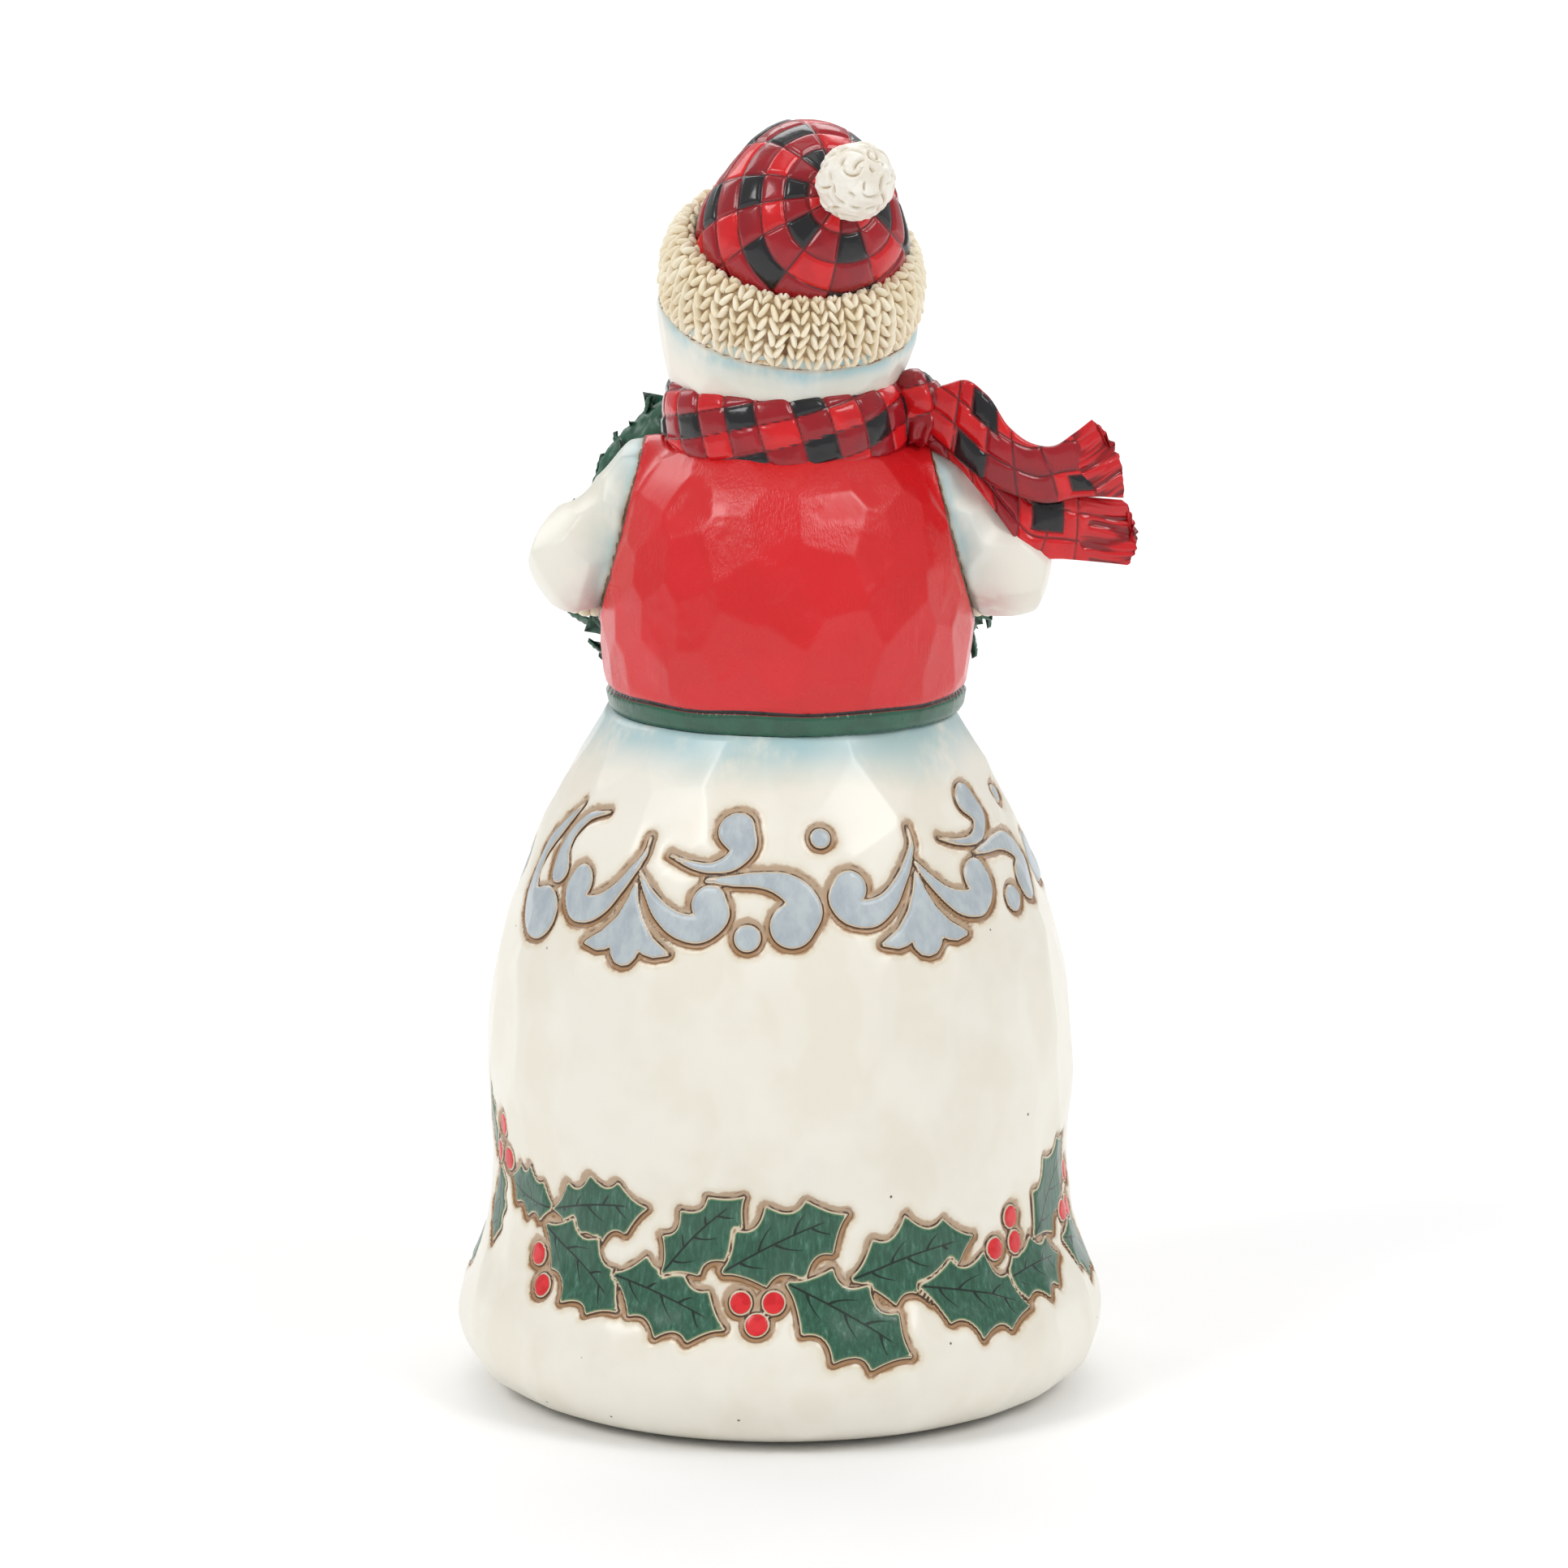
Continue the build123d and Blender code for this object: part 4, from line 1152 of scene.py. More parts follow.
def stitch_height(x, y):
    """Stocking stitch: nested pairs of slanted loops pointing down. x and y in mm, height 0 to 1."""
    column = np.floor(x / STITCH_W).astype(int)
    x = x - (column + 0.5) * STITCH_W
    side = (x > 0).astype(int)
    best = np.zeros(np.broadcast(x, y).shape)
    row = np.floor(y / STITCH_H).astype(int)
    top, foot = np.array([1.42, 1.15]), np.array([0.48, -1.15])
    way = (top - foot) / np.linalg.norm(top - foot)
    middle, half = (top + foot) / 2, np.linalg.norm(top - foot) / 2
    for j in (-1, 0, 1, 2):
        a, b = hashed(column, row + j, side, 7) - 0.5, hashed(column, row + j, side, 8) - 0.5
        dx, dy = np.abs(x) - middle[0] + 0.22 * a, y - (row + j + 0.5) * STITCH_H - middle[1] + 0.3 * b
        along, across = dx * way[0] + dy * way[1], dx * way[1] - dy * way[0]
        q = 1 - (across / (0.6 + 0.06 * b)) ** 2 - (np.abs(along) / (half + 0.72)) ** 3
        best = np.maximum(best, np.sqrt(np.maximum(q, 0)) * (0.88 + 0.2 * a - 0.16 * along))
    return np.clip(best, 0, 1)


def build_cuff():
    pole = HAT_AXIS
    back = square_to(pole, np.array([0, 1.0, 0]))
    side = np.cross(pole, back)
    outer = [(23.9, 2.1), (24.6, 4.5), (24.85, 8.5), (24.5, 12.2), (23.4, 15.0), (22.0, 16.7)]
    outer += [(20.6, 17.3), (19.3, 16.8)]
    outer = curve_through(outer, 92)
    roll = np.array([(19.0, 16.0), (19.1, 14.0), (20.5, 9.0), (22.0, 4.6), (22.8, 2.3), (23.3, 1.8)])
    profile = np.concatenate([outer, roll])
    columns = CUFF_STITCHES * 26
    turn = turns(columns, -pi)[None]
    r, d = profile[:, 0][:, None], profile[:, 1][:, None]
    way = swing(turn, back, side)
    d = (
        d + (1.15 + 0.75 * np.cos(turn)) * np.clip((16.5 - d) / 14.5, 0, 1)
        + 1.6 * (1 - np.cos(turn)) * np.clip((d - 5) / 11, 0, 1)
    )
    base = HEAD_C + d[..., None] * pole + r[..., None] * way
    along = run_length(profile)[:, None]
    x = turn / (2 * pi) * CUFF_STITCHES * STITCH_W + 0.9 * noise(base, 8, 61) + 0.35 * noise(base, 3, 65)
    y = along + 0.9 * noise(base, 8, 62) + 0.3 * noise(base, 3, 66)
    stitch = stitch_height(x, y)
    edge = along[len(outer) - 1]
    ends = np.clip(step(-0.3, 1.0, along) * step(edge + 0.6, edge - 1.2, along), 0, 1)
    seam = np.exp(-(((turn * 24.5 + 0.5 * noise(base, 5, 68)) / 0.42) ** 2))
    wave = noise(base, 12, 63) * 0.35 + noise(base, 4, 64) * 0.2
    height = (stitch * 1.5 - 1.05) * (0.15 + 0.85 * ends) + wave * ends - 0.25 * seam * ends
    height[len(outer) :] = np.minimum(height[len(outer) :], 0) * 0.3
    n = normals_of(base)
    n = n * np.sign(np.sum(n * way, axis=-1).mean())
    points = base + n * height[..., None]
    hollow = np.clip(0.94 - stitch * 1.25, 0, 1) + 0.35 * seam
    hollow[len(outer) :] = 0.6
    faces = grid_faces(*points.shape[:2], True, True)
    piece("hat_cuff_knit", points, faces, knit, "painted_knit", ["hat_cuff"], hollow=hollow)


def build_pompom():
    pole = unit(POMPOM_C - CROWN_C)
    grid, way, tip = ball_grid(POMPOM_C, POMPOM_R - 0.2, 150, 260, pole)
    flat = grid.reshape(-1, 3)
    height = -0.55 * knife(grid, 3.3, 0.09, 71, soft=0.1, vary=0.25) + 0.25 * noise(grid, 2.2, 74)
    hollow = step(0.1, 0.7, -height) * 0.5
    rng = np.random.default_rng(73)
    for m in flat[spread(flat, 2.35, 72)]:
        n = unit(m - POMPOM_C)
        a = unit(np.cross(n, rng.normal(size=3)))
        b = np.cross(n, a)
        near = np.linalg.norm(grid - m, axis=-1) < 3.2
        d = (grid - m)[near]
        x, y = d @ a, d @ b
        bend, reach = rng.uniform(1.4, 5.0), rng.uniform(0.5, 1.9)
        ring = np.hypot(x, y + bend) - bend
        cut = np.exp(-((ring / 0.27) ** 2) - (x / reach) ** 4) * (y + bend > 0)
        ridge = np.exp(-(((ring - 0.75) / 0.42) ** 2) - (x / reach) ** 4) * (y + bend > 0)
        height[near] += 0.18 * ridge - 0.75 * cut
        hollow[near] = np.maximum(hollow[near], cut * rng.uniform(0.6, 1.1))
    height = np.minimum(height, 0.42)
    points = grid + way * height[..., None]
    mesh, faces, fields = capped(points, POMPOM_C - tip, POMPOM_C + tip, hollow=hollow)
    piece("pompom_carved", mesh, faces, pompom_paint, "painted_knit", ["pompom"], **fields)


# ---------------------------------------------------------------- scarf


def build_wrap():
    columns, rows = 420, 96
    turn = turns(columns)[None]
    loop = turns(rows)[:, None]
    power = lambda x, p: np.sign(x) * np.abs(x) ** p
    out, up = power(np.cos(loop), 0.72) * 4.6, power(np.sin(loop), 0.85) * 7.7
    fold = noise(xyz(np.cos(turn) * 20, np.sin(turn) * 20, 0), 13, 81)
    out = out + np.exp(-(((up + 4.8) / 1.6) ** 2)) * (out > 0) * 0.5
    radius = 18.9 + out + fold * 0.35
    away = np.sin(turn)
    sag = np.where(up < 0, 0.1 * np.maximum(away, 0) - 0.28 * (1 - np.abs(away)) - 0.1 * (away < 0), 0)
    z = 186.7 + up * (1 + fold * 0.04 + sag) - 1.0 * np.maximum(away, -0.2)
    base = xyz(UPPER_X + radius * np.cos(turn), radius * np.sin(turn), z)
    warp = noise(base, 10, 82) * 0.1, noise(base, 10, 83) * 0.1
    around = ((turn - pi / 2 + pi) % (2 * pi) - pi) * 22.5
    height_on = np.where(np.cos(loop) > -0.35, up * 1.08, np.sign(up) * (8.3 + (4.6 - out)))
    lean = radians(15.2)
    u = (around * cos(lean) + height_on * sin(lean)) / 6.4 + 0.64
    v = (-around * sin(lean) + height_on * cos(lean)) / 5.2 + 0.38
    cells = plaid_cells(u + warp[0], v + warp[1], 6.4, 5.2)
    cuts = knife(base, 5.2, 0.014, 85, soft=0.05, vary=0.12)
    height = plaid_height(cells) + cuts * 0.45
    n = normals_of(base)
    middle = xyz(UPPER_X + 18.9 * np.cos(turn), 18.9 * np.sin(turn), 186.2)
    n = n * np.sign(np.sum(n * (base - middle), axis=-1).mean())
    points = base + n * height[..., None]
    faces = grid_faces(rows, columns, True, True)
    piece("scarf_wrap_carved", points, faces, plaid, "painted_plaid", ["scarf_wrap"], **cells)


def build_knot():
    centre = np.array([-26.0, 2.6, 189.2])

    def field(p):
        upper = capsule(p, centre + [1.0, 0.6, 2.8], centre + [-0.6, 0.8, 1.4], 4.0, 4.3)
        lower = capsule(p, centre + [1.4, 0.8, -2.8], centre + [-1.4, 0.6, -3.4], 3.5, 3.5)
        twist = capsule(p, centre + [4.8, 1.2, 1.2], centre + [3.2, 1.4, -4.2], 2.2, 2.0)
        under = capsule(p, centre + [3.6, 1.8, -4.4], centre + [-0.6, 1.2, -5.4], 2.6, 2.8)
        return blend(blend(blend(upper, lower, 0.7), twist, 0.6), under, 0.5)

    points, faces, normal = nets(field, centre - 10, centre + 10, 0.42)
    d = points - centre
    u = (d @ unit([1, 0.2, -0.25])) / 6.2 + noise(points, 7, 91) * 0.12 + 0.35
    v = (d @ unit([0.3, 0, 1])) / 6.0 + noise(points, 7, 92) * 0.12 + 2.3
    cells = plaid_cells(u, v, 6.2, 6.0)
    folds = 0.45 * np.sin(
        (d @ unit([1, 0.3, 0.35])) * 2.6 + 1.2 * noise(points, 4, 94)
    ) * step(-1.5, -4.5, d[:, 2])
    cuts = knife(points, 3.8, 0.03, 93, soft=0.05, vary=0.1)
    points = points + normal * (plaid_height(cells, 0.3, 0.4) + cuts * 0.5 + folds)[:, None]
    piece("scarf_knot_carved", points, faces, plaid, "painted_plaid", ["scarf_knot"], **cells)


def build_tail(name, top, bottom, y_line, fringe_from, start_u, start_v, blacks, seed):
    """A carved cloth tail between two edge lines, given as (x, z) rows, with a fringe at its far end."""
    along, across = 170, 92
    upper, lower = curve_through(top, along), curve_through(bottom, along)
    t = np.linspace(0, 1, along)[:, None]
    side = turns(across * 2)[None]
    w = 0.5 - 0.5 * np.cos(side)
    flat = np.sin(side)
    thick = (np.sign(flat) * np.abs(flat) ** 0.45) * 1.45
    x = upper[:, 0][:, None] * (1 - w) + lower[:, 0][:, None] * w
    z = upper[:, 1][:, None] * (1 - w) + lower[:, 1][:, None] * w
    wide = np.linalg.norm(upper - lower, axis=1)[:, None]
    fringe = step(fringe_from - 0.015, fringe_from + 0.015, t + 0.02 * np.sin(w * 9 + seed)) + 0 * w
    flare = np.maximum(t - fringe_from, 0) / (1 - fringe_from)
    strand_at = xyz(w * wide + 0.25 * np.sin(t * 30 + seed), t * 6, 0)
    thread = np.clip(2.4 * noise(strand_at, 0.8, seed) + 0.8 * noise(strand_at, 0.45, seed + 1), -1, 1)
    fold = np.sin(t * 7.5 + w * 2.4 + seed) * 0.8 * step(0.1, 0.5, t) + np.sin(w * 7 + seed) * 0.9 * flare
    base_y = np.interp(t[:, 0], *np.array(y_line).T)[:, None] + fold
    sign = np.sign(flat)
    ragged = 0.7 * flare**3 * noise(xyz(w * 30 + 0 * t, seed, 0), 1.4, seed)
    end = unit(
        np.array([upper[-1, 0] - upper[-12, 0], upper[-1, 1] - upper[-12, 1]])
        + [lower[-1, 0] - lower[-12, 0], lower[-1, 1] - lower[-12, 1]]
    )
    push = ragged + 2.2 * flare * 4 * w * (1 - w)
    x, z = x + end[0] * push, z + end[1] * push
    u = t * (np.linalg.norm(upper[-1] - upper[0])) * 1.06 / 6.0 + start_u
    v = (w - 1) * wide / 5.6 + start_v
    spot = xyz(x, base_y, z)
    u, v = (
        u + noise(spot, 9, seed + 2) * 0.14 + 0.06 * (w - 0.5) * wide / 7, v
        + noise(spot, 9, seed + 3) * 0.1
    )
    cells = plaid_cells(u, v, 6.0, 5.6, blacks)
    relief = (
        plaid_height(cells, 0.4, 0.5) * (1 - fringe)
        + knife(spot, 5.0, 0.012, seed + 4, vary=0.15) * 0.45 * (1 - fringe)
    )
    relief = relief + fringe * (0.34 * thread - 0.3)
    y = base_y + thick * (1 - 0.25 * flare) + sign * relief * np.abs(flat) ** 0.5
    grid = xyz(x, y, z)
    cells.update(fringe=fringe, thread=thread)
    mesh, faces, fields = capped(grid, grid[0].mean(0), grid[-1].mean(0), **cells)
    piece(name + "_carved", mesh, faces, plaid, "painted_plaid", [name], **fields)


def build_tails():
    build_tail(
        "scarf_tail_upper",
        [
            (-27.5, 192.0), (-31.1, 193.2), (-34.9, 194.2), (-38.7, 191.6), (-43.3, 185.2), (-47.2, 182.4),
            (-51.3, 181.8), (-55.1, 184.0), (-58.6, 186.6),
        ],
        [
            (-27.5, 184.0), (-31.5, 180.8), (-36.5, 176.8), (-40.0, 174.4), (-43.4, 172.8), (-50.3, 170.8),
            (-56.0, 171.8), (-60.0, 172.0), (-64.4, 171.7),
        ],
        [(0, 4.5), (0.3, 7.4), (0.6, 6.8), (1, 6.0)], 0.87, 0.1, 2.0,
        [(1.9, -0.35, 0.45, 0.5), (1.6, 1.65, 0.5, 0.6), (4.7, 1.45, 0.28, 0.28)], 3,
    )
    build_tail(
        "scarf_tail_lower",
        [
            (-27.5, 186.0), (-34, 182.5), (-40, 178), (-46, 174.4), (-52, 172.6), (-58.5, 171.6),
            (-64.4, 171.0),
        ],
        [
            (-28.0, 180.6), (-32.5, 178.2), (-37.4, 173.0), (-43.2, 165.4), (-46.6, 160.6), (-54, 159.6),
            (-66.0, 158.3),
        ],
        [(0, 3.0), (0.3, 5.0), (0.6, 3.2), (1, 2.0)], 0.82, 0.4, 2.7, [(5.0, 1.25, 0.5, 0.55)], 8,
    )


# ---------------------------------------------------------------- wreath

TILT = radians(WREATH_TILT)
WREATH_X, WREATH_UP, WREATH_OUT = (
    np.array([1.0, 0, 0]), np.array([0, sin(TILT), cos(TILT)]), np.array([0, -cos(TILT), sin(TILT)])
)


# Rings of leaves: where on the tube, in degrees, how long, and how far they lean outwards.
LEAF_RINGS = [
    (-52, 12.5, 0.75), (2, 12.0, 0.95), (52, 11.5, 0.6), (100, 10.5, 0.1), (-105, 10.5, 0.2), (148, 8.0, -0.5),
]


def wreath_frame(angle, tube_angle):
    """Place and directions on the ring: point, normal, along the ring, round the tube."""
    a, b = radians(angle), radians(tube_angle)
    radial = cos(a) * WREATH_X + sin(a) * WREATH_UP
    along = -sin(a) * WREATH_X + cos(a) * WREATH_UP
    normal = cos(b) * radial + sin(b) * WREATH_OUT
    across = -sin(b) * radial + cos(b) * WREATH_OUT
    return WREATH_C + radial * WREATH_R + normal * WREATH_TUBE, normal, along, across


def leaf_mesh(length, half, teeth, arch, seed, thick=0.5, spiny=0.0):
    """A closed leaf from the origin along +X, crown side +Z: points, faces and a ridge field."""
    nu, nv = 26, 13
    t = np.linspace(0, 1, nu)[:, None]
    w = np.linspace(-1, 1, nv)[None]
    wave = np.abs(((t * teeth) % 1) - 0.25)
    tooth = 1 - (0.16 + spiny) * np.clip(wave / 0.75, 0, 1) * step(0.02, 0.2, t)
    wide = half * np.sin(pi * np.clip(t, 0.0, 1) ** 0.72) ** 0.8 * tooth
    wide = np.maximum(wide, 0.02)
    x = t * length + 0 * w - np.abs(w) * wide * 0.16
    y = w * wide
    vein = np.exp(-((w * wide / 0.32) ** 2))
    rib = np.sin((t * length - np.abs(w) * wide * 0.8) * 2 * pi / (length / 7.5))
    z = (
        arch * np.sin(pi * t * 0.9) * length * 0.16 - 0.22 * half * w**2 + 0.22 * half * np.abs(w)
        - 0.28 * vein + 0.16 * rib * (1 - vein) * (1 - np.abs(w) ** 4)
    )
    z = z + 0.4 * half * noise(xyz(x, y, 0), 5, seed) * np.abs(w)
    # The ridge field lights the ribs and edges and darkens the midrib: painted highlight and shade for the
    # green paint.
    ridge = np.clip(0.5 + 0.45 * rib * (1 - vein) - 0.5 * vein + 0.25 * np.abs(w) ** 3, 0, 1)
    half_thick = thick / 2 * (1 - np.abs(w) ** 3)
    top, under = xyz(x, y, z + half_thick), xyz(x, y, z - half_thick)[:, 1:-1]
    points = np.concatenate([top.reshape(-1, 3), under.reshape(-1, 3)])
    up = np.arange(nu * nv).reshape(nu, nv)
    low = np.full((nu, nv), -1)
    low[:, 1:-1] = np.arange(nu * (nv - 2)).reshape(nu, nv - 2) + nu * nv
    low[:, 0], low[:, -1] = up[:, 0], up[:, -1]
    faces = np.stack([up[:-1, :-1], up[1:, :-1], up[1:, 1:], up[:-1, 1:]], axis=-1).reshape(-1, 4).tolist()
    faces += np.stack(
        [low[:-1, :-1], low[:-1, 1:], low[1:, 1:], low[1:, :-1]], axis=-1
    ).reshape(-1, 4).tolist()
    for i in (0, nu - 1):
        for j in range(nv - 1):
            q = [up[i, j], up[i, j + 1], low[i, j + 1], low[i, j]]
            q = list(dict.fromkeys(q))
            if len(q) >= 3:
                faces.append(q if i == 0 else q[::-1])
    # The undersides get a lower ridge value, so the green paint darkens them as painted shade.
    return points, faces, np.concatenate([ridge.ravel(), ridge[:, 1:-1].ravel() * 0.6])


def add_leaf(parts, base, way, up, lift, *shape):
    """Adds a leaf that grows from base along way, with its crown towards up."""
    face = square_to(way, up)
    points, faces, ridge = leaf_mesh(*shape)
    parts.append((base + face * lift + points @ np.stack([way, np.cross(face, way), face]), faces, ridge))


def gather(parts, name, paint, slot, nodes):
    """Many small closed meshes, each (points, faces, ridge), as one piece."""
    return piece(
        name, *joined(parts), paint, slot, nodes, ridge=np.concatenate([part[2] for part in parts])
    )


def build_wreath():
    rng = np.random.default_rng(5)
    parts = []
    count = 28
    for ring, (tube, size, splay) in enumerate(LEAF_RINGS):
        for k in range(count if ring < 3 else count - 8):
            angle = (k + 0.5 * (ring % 2)) * 360 / (count if ring < 3 else count - 8) + rng.uniform(-3, 3)
            place, normal, along, across = wreath_frame(angle, tube + rng.uniform(-9, 9))
            out = across * -np.sign(tube - 2 + 1e-3) if abs(tube) > 20 else across * rng.choice([-0.4, 0.4])
            radial = square_to(WREATH_OUT, place - WREATH_C)
            way = unit(
                along * 0.9 + radial * splay * 0.6 + out * 0.1 + normal * 0.2 + rng.normal(size=3) * 0.1
            )
            add_leaf(
                parts, place - normal * 1.4, way, normal, 0,
                size * rng.uniform(0.8, 1.0), size * 0.35, 5, 0.8, int(rng.integers(999)), 0.8,
            )
    for from_angle, to_angle, reach, thick in (
        (6, 70, 35.6, 6.4), (-21, -3, 34.0, 5.0), (186, 205, 34.4, 5.0)
    ):
        a = np.radians(np.linspace(from_angle, to_angle, int(abs(to_angle - from_angle) * 2) + 4))[:, None]
        loop = turns(64)[None]
        radial = swing(a, WREATH_X, WREATH_UP)
        normal = swing(loop, radial, WREATH_OUT)
        middle = WREATH_C + reach * radial - 3.0 * WREATH_OUT
        taper = np.sqrt(np.sin(np.linspace(0.12, pi - 0.12, len(a))))[:, None, None]
        leafy = knife(middle + normal * thick, 3.6, 0.06, 700 + from_angle, soft=0.05, vary=0.3)
        veined = noise(middle + normal * thick, 1.3, 9, 2)
        bough = middle + normal * taper * thick * (
            1 + 0.16 * np.clip(leafy, -1, 1) + 0.05 * veined
        )[..., None]
        # The ridge field gives painted highlight on the bough's raised facets and painted shade in its
        # hollows.
        points, faces, fields = capped(
            bough, bough[0].mean(0), bough[-1].mean(0),
            ridge=np.clip(0.5 + 0.5 * leafy + 0.3 * veined, 0, 1),
        )
        parts.append((points, faces, fields["ridge"]))
    for k, angle in enumerate((13, 19, 25, 31, 37, 43, 49, 55, 61, -8, -14, 188, 194, 168, 154, 140, 126)):
        a = radians(angle)
        radial = cos(a) * WREATH_X + sin(a) * WREATH_UP
        tangent = np.cross(WREATH_OUT, radial)
        way = unit(radial + (0.5 if k % 2 else -0.25) * tangent)
        base = WREATH_C + radial * (WREATH_R + 0.5) - WREATH_OUT * (3.0 + 2.2 * (k % 2))
        up = -WREATH_OUT + 0.25 * radial
        add_leaf(parts, base, way, up, 0, 14.4 - (k % 3), 5.6, 4, 0.7, 500 + k, 0.9, 0.06)
    rows, columns = 40, 200
    turn = turns(columns)[None]
    loop = turns(rows)[:, None]
    radial = swing(turn, WREATH_X, WREATH_UP)
    normal = swing(loop, radial, WREATH_OUT)
    base = WREATH_C + radial * WREATH_R + normal * (WREATH_TUBE - 0.5)
    rough = noise(base, 3.5, 7, 2)
    core = base + normal * (rough * 0.9 - 0.3)[..., None]
    # The core's low ridge value paints it near black: painted shade under the leaves.
    parts.append(
        (core.reshape(-1, 3), grid_faces(rows, columns, True, True), np.clip(0.3 + rough.ravel() * 0.3, 0, 1))
    )
    gather(parts, "wreath_ring_greens", greens, "painted_greenery", ["wreath_ring"])

    parts, berries = [], []
    for angle in (48, 132, 205, 335):
        place, normal, along, across = wreath_frame(angle, 90)
        radial = square_to(WREATH_OUT, place - WREATH_C)
        tangent = np.cross(WREATH_OUT, radial)
        for turn in (0, 120, 240):
            a = radians(turn)
            way = unit(cos(a) * radial + sin(a) * tangent + 0.12 * WREATH_OUT)
            add_leaf(
                parts, place + way * 0.8, way, WREATH_OUT, 1.2, 13.4, 4.4, 3, 0.9, angle + turn, 0.8, 0.34
            )
        for turn in (60, 180, 300):
            a = radians(turn)
            berries.append(place + 2.45 * (cos(a) * radial + sin(a) * tangent) + WREATH_OUT * 3.4)
    gather(parts, "wreath_leaves_carved", greens, "painted_greenery", ["wreath_leaves"])
    lumps(
        "wreath_berries_turned", berries, BERRY_R, berry_paint, "painted_berry", ["wreath_berries"],
        rough=0.06, seed=120, rows=16,
    )

    cones = []
    for angle in (78, 102):
        place, _, _, _ = wreath_frame(angle, 90)
        radial = square_to(WREATH_OUT, place - WREATH_C)
        tangent = np.cross(WREATH_OUT, radial)
        a = radians(70)
        way = cos(a) * radial + sin(a) * tangent
        cones.append(cone_mesh(place + WREATH_OUT * 4.9, way, 5.4, 3.7))
    gather(cones, "pine_cones_carved", cone_paint, "painted_cone", ["pine_cones"])


def cone_mesh(centre, way, half, radius):
    """A pine cone: spiral rows of pointed scales."""
    rows, columns = 90, 96
    t = np.linspace(0.01, 0.99, rows)[:, None]
    turn = turns(columns)[None]
    body = np.sin(pi * t**0.8) ** 0.7
    u = turn / (2 * pi) * 8
    v = t * 8.5
    best = 0
    for j in range(-1, 2):
        row = np.floor(v) + j
        x = (u + 0.5 * (row % 2)) % 1 - 0.5
        y = v - row
        scale = 1 - (np.abs(x) / 0.52) ** 2.2 - np.clip(np.abs(y - 0.45) / 0.85, 0, 2) ** 2
        best = np.maximum(best, np.clip(scale, 0, 1) * (0.45 + 0.55 * np.clip(y, 0, 1)))
    r = radius * body * (0.74 + 0.34 * best)
    side_a = unit(np.cross(way, WREATH_OUT))
    side_b = np.cross(way, side_a)
    grid = centre + (t * 2 - 1)[..., None] * half * way + r[..., None] * swing(turn, side_a, side_b)
    points, faces, fields = capped(grid, centre - half * way, centre + half * way, ridge=best + 0 * r)
    return points, faces, fields["ridge"]


def build_bow():
    """Two padded loops, two tails and a knot, as one carved lump."""
    place, _, _, _ = wreath_frame(270, 90)

    def local(p):
        d = p - place
        return d @ WREATH_X, d @ WREATH_UP, d @ WREATH_OUT

    def field(p):
        x, y, z = local(p)
        q = np.stack([np.abs(x), y, z], axis=1)
        loop = np.linalg.norm((q - [7.6, 0.7, 2.0]) / [5.6, 4.3, 2.0], axis=1)
        loop = (loop - 1) * 2.6
        hole = (np.linalg.norm((q - [8.0, 0.8, 3.4]) / [3.2, 1.9, 1.7], axis=1) - 1) * 1.5
        loop = np.maximum(loop, -hole)
        stem = capsule(q, (1.5, 0, 2.0), (5, 0.3, 2.0), 1.7, 2.2)
        tail = capsule(q, (1.0, -1.0, 1.6), (6.2, -10.6, 1.6), 1.5, 2.3)
        tail = np.maximum(tail, np.abs(q[:, 2] - 1.6) - 0.95)
        knot = (np.linalg.norm((q - [0, 0, 2.5]) / [2.7, 2.9, 2.5], axis=1) - 1) * 2.4
        return blend(blend(blend(loop, stem, 1.0), tail, 0.6), knot, 0.5)

    points, faces, normal = nets(field, place - [15, 9, 15], place + [15, 7, 9], 0.42)
    x, y, _ = local(points)
    cells = plaid_cells((x + y * 0.4) / 4.4 + 0.5, (y - x * 0.4) / 4.4 + 0.5, 4.4, 4.4)
    points = points + normal * plaid_height(cells, 0.22, 0.35)[:, None]
    piece("wreath_bow_carved", points, faces, plaid, "painted_plaid", ["wreath_bow"], **cells)


# ---------------------------------------------------------------- the whole figure

build_lower_body()
build_vest()
for build, name in ((build_arm, "arm"), (build_mitten, "mitten")):
    build(1, name + "_left")
    build(-1, name + "_right")
build_head()
build_face()
build_crown()
build_cuff()
build_pompom()
build_wrap()
build_knot()
build_tails()
build_wreath()
build_bow()

# Joinery that keeps its CAD mesh.
KEPT = {
    wood: [
        "base_plate", "waist_dowel", "neck_dowel", "arm_dowels", "hat_dowel", "pompom_peg", "mitten_pegs"
    ],
    felt: ["felt_pad"],
    steel: ["knot_pin", "tail_pins", "wreath_pins"],
}
for paint, nodes in KEPT.items():
    for node in nodes:
        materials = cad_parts[node].data.materials
        materials.clear()
        materials.append(paint)


# ---------------------------------------------------------------- floor, light and camera


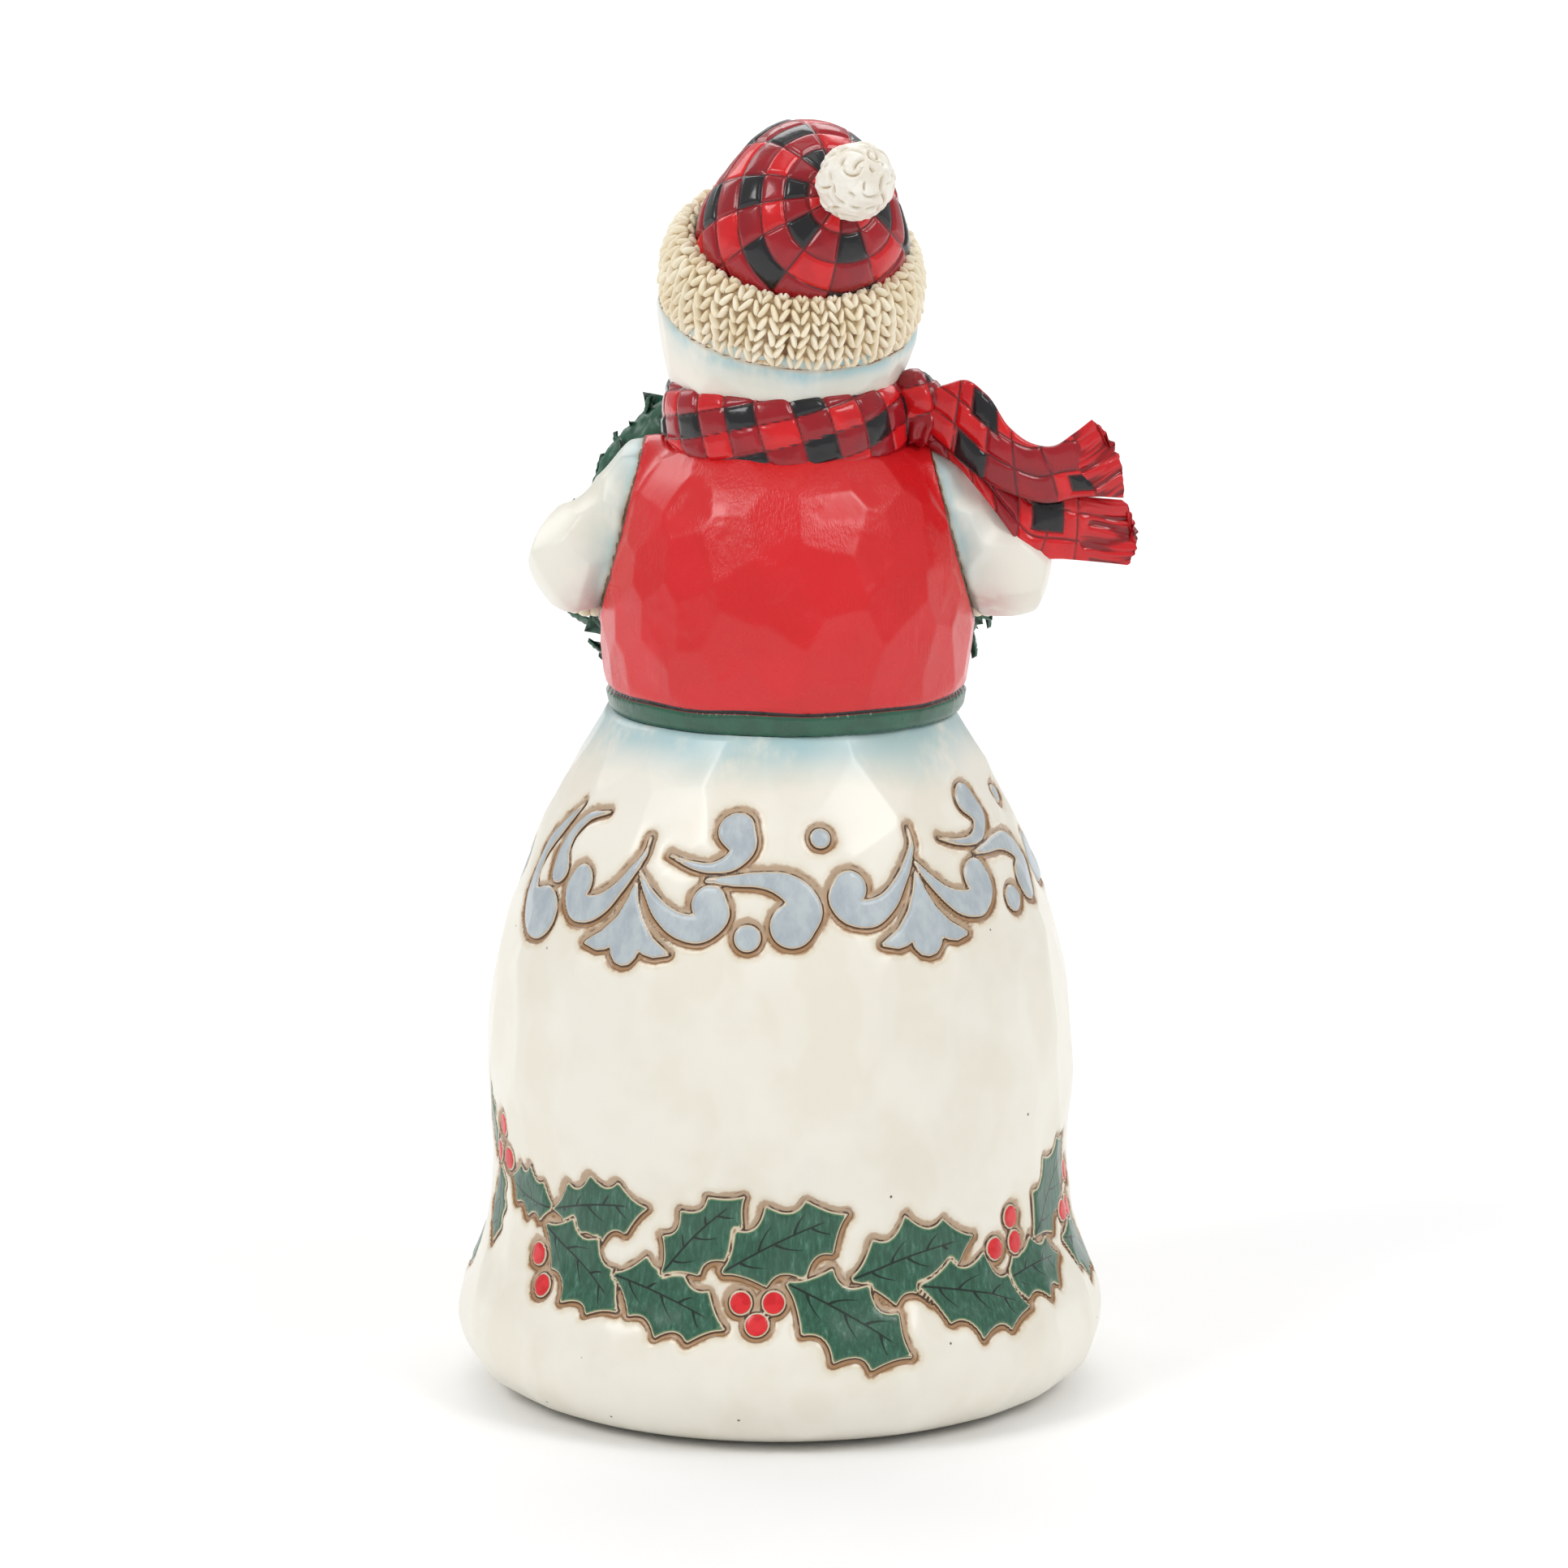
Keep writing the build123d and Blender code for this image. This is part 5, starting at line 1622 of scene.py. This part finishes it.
def build_stage():
    p = Paint("pale_floor")
    colour = p.mix(p.noise(60, 3), (0.93, 0.93, 0.93, 1), (0.96, 0.96, 0.96, 1))
    floor_paint = p.done(colour, p.linear(p.noise(8, 3), 0.1, 0.75), p.bump(p.noise(1.5, 2), 0.03, 0.2))
    mesh = bpy.data.meshes.new("floor")
    mesh.from_pydata([(-6, -6, 0), (6, -6, 0), (6, 6, 0), (-6, 6, 0)], [], [(0, 1, 2, 3)])
    floor = bpy.data.objects.new("floor", mesh)
    mesh.materials.append(floor_paint)
    bpy.context.collection.objects.link(floor)
    world = bpy.data.worlds.new("studio")
    bpy.context.scene.world = world
    world.use_nodes = True
    colour, strength = world.node_tree.nodes["Background"].inputs[:2]
    colour.default_value, strength.default_value = (1, 1, 1, 1), 0.5

    def lamp(name, place, size, power, target=(0, 0, 0.13)):
        light = bpy.data.lights.new(name, "AREA")
        light.shape, light.size, light.energy = "SQUARE", size, power
        obj = bpy.data.objects.new(name, light)
        obj.location = place
        obj.rotation_euler = (Vector(target) - Vector(place)).to_track_quat("-Z", "Y").to_euler()
        bpy.context.collection.objects.link(obj)

    lamp("back_left", (2.0, 1.55, 2.42), 1.2, 34)
    lamp("back_right", (-2.04, 1.53, 2.42), 1.2, 31)
    lamp("top", (0, 0, 3.2), 1.6, 8)
    lamp("front_left", (-2.2, -2.4, 2.0), 1.4, 14)
    lamp("front_right", (2.2, -2.2, 2.0), 1.4, 14)
    lamp("far_floor", (0, -4.0, 3.2), 3.5, 110, (0, -4.2, 0))

    camera = bpy.data.cameras.new("camera")
    camera.sensor_width, camera.lens = 36, 159.1
    camera.clip_start, camera.clip_end = 0.05, 20
    obj = bpy.data.objects.new("camera", camera)
    target = Vector((-0.00077, 0, 0.1158))
    obj.location = target + Vector((0, cos(radians(11)), sin(radians(11)))) * 1.32
    obj.rotation_euler = (target - obj.location).to_track_quat("-Z", "Y").to_euler()
    bpy.context.collection.objects.link(obj)
    bpy.context.scene.camera = obj
    bpy.context.scene.view_settings.view_transform = "Standard"


build_stage()
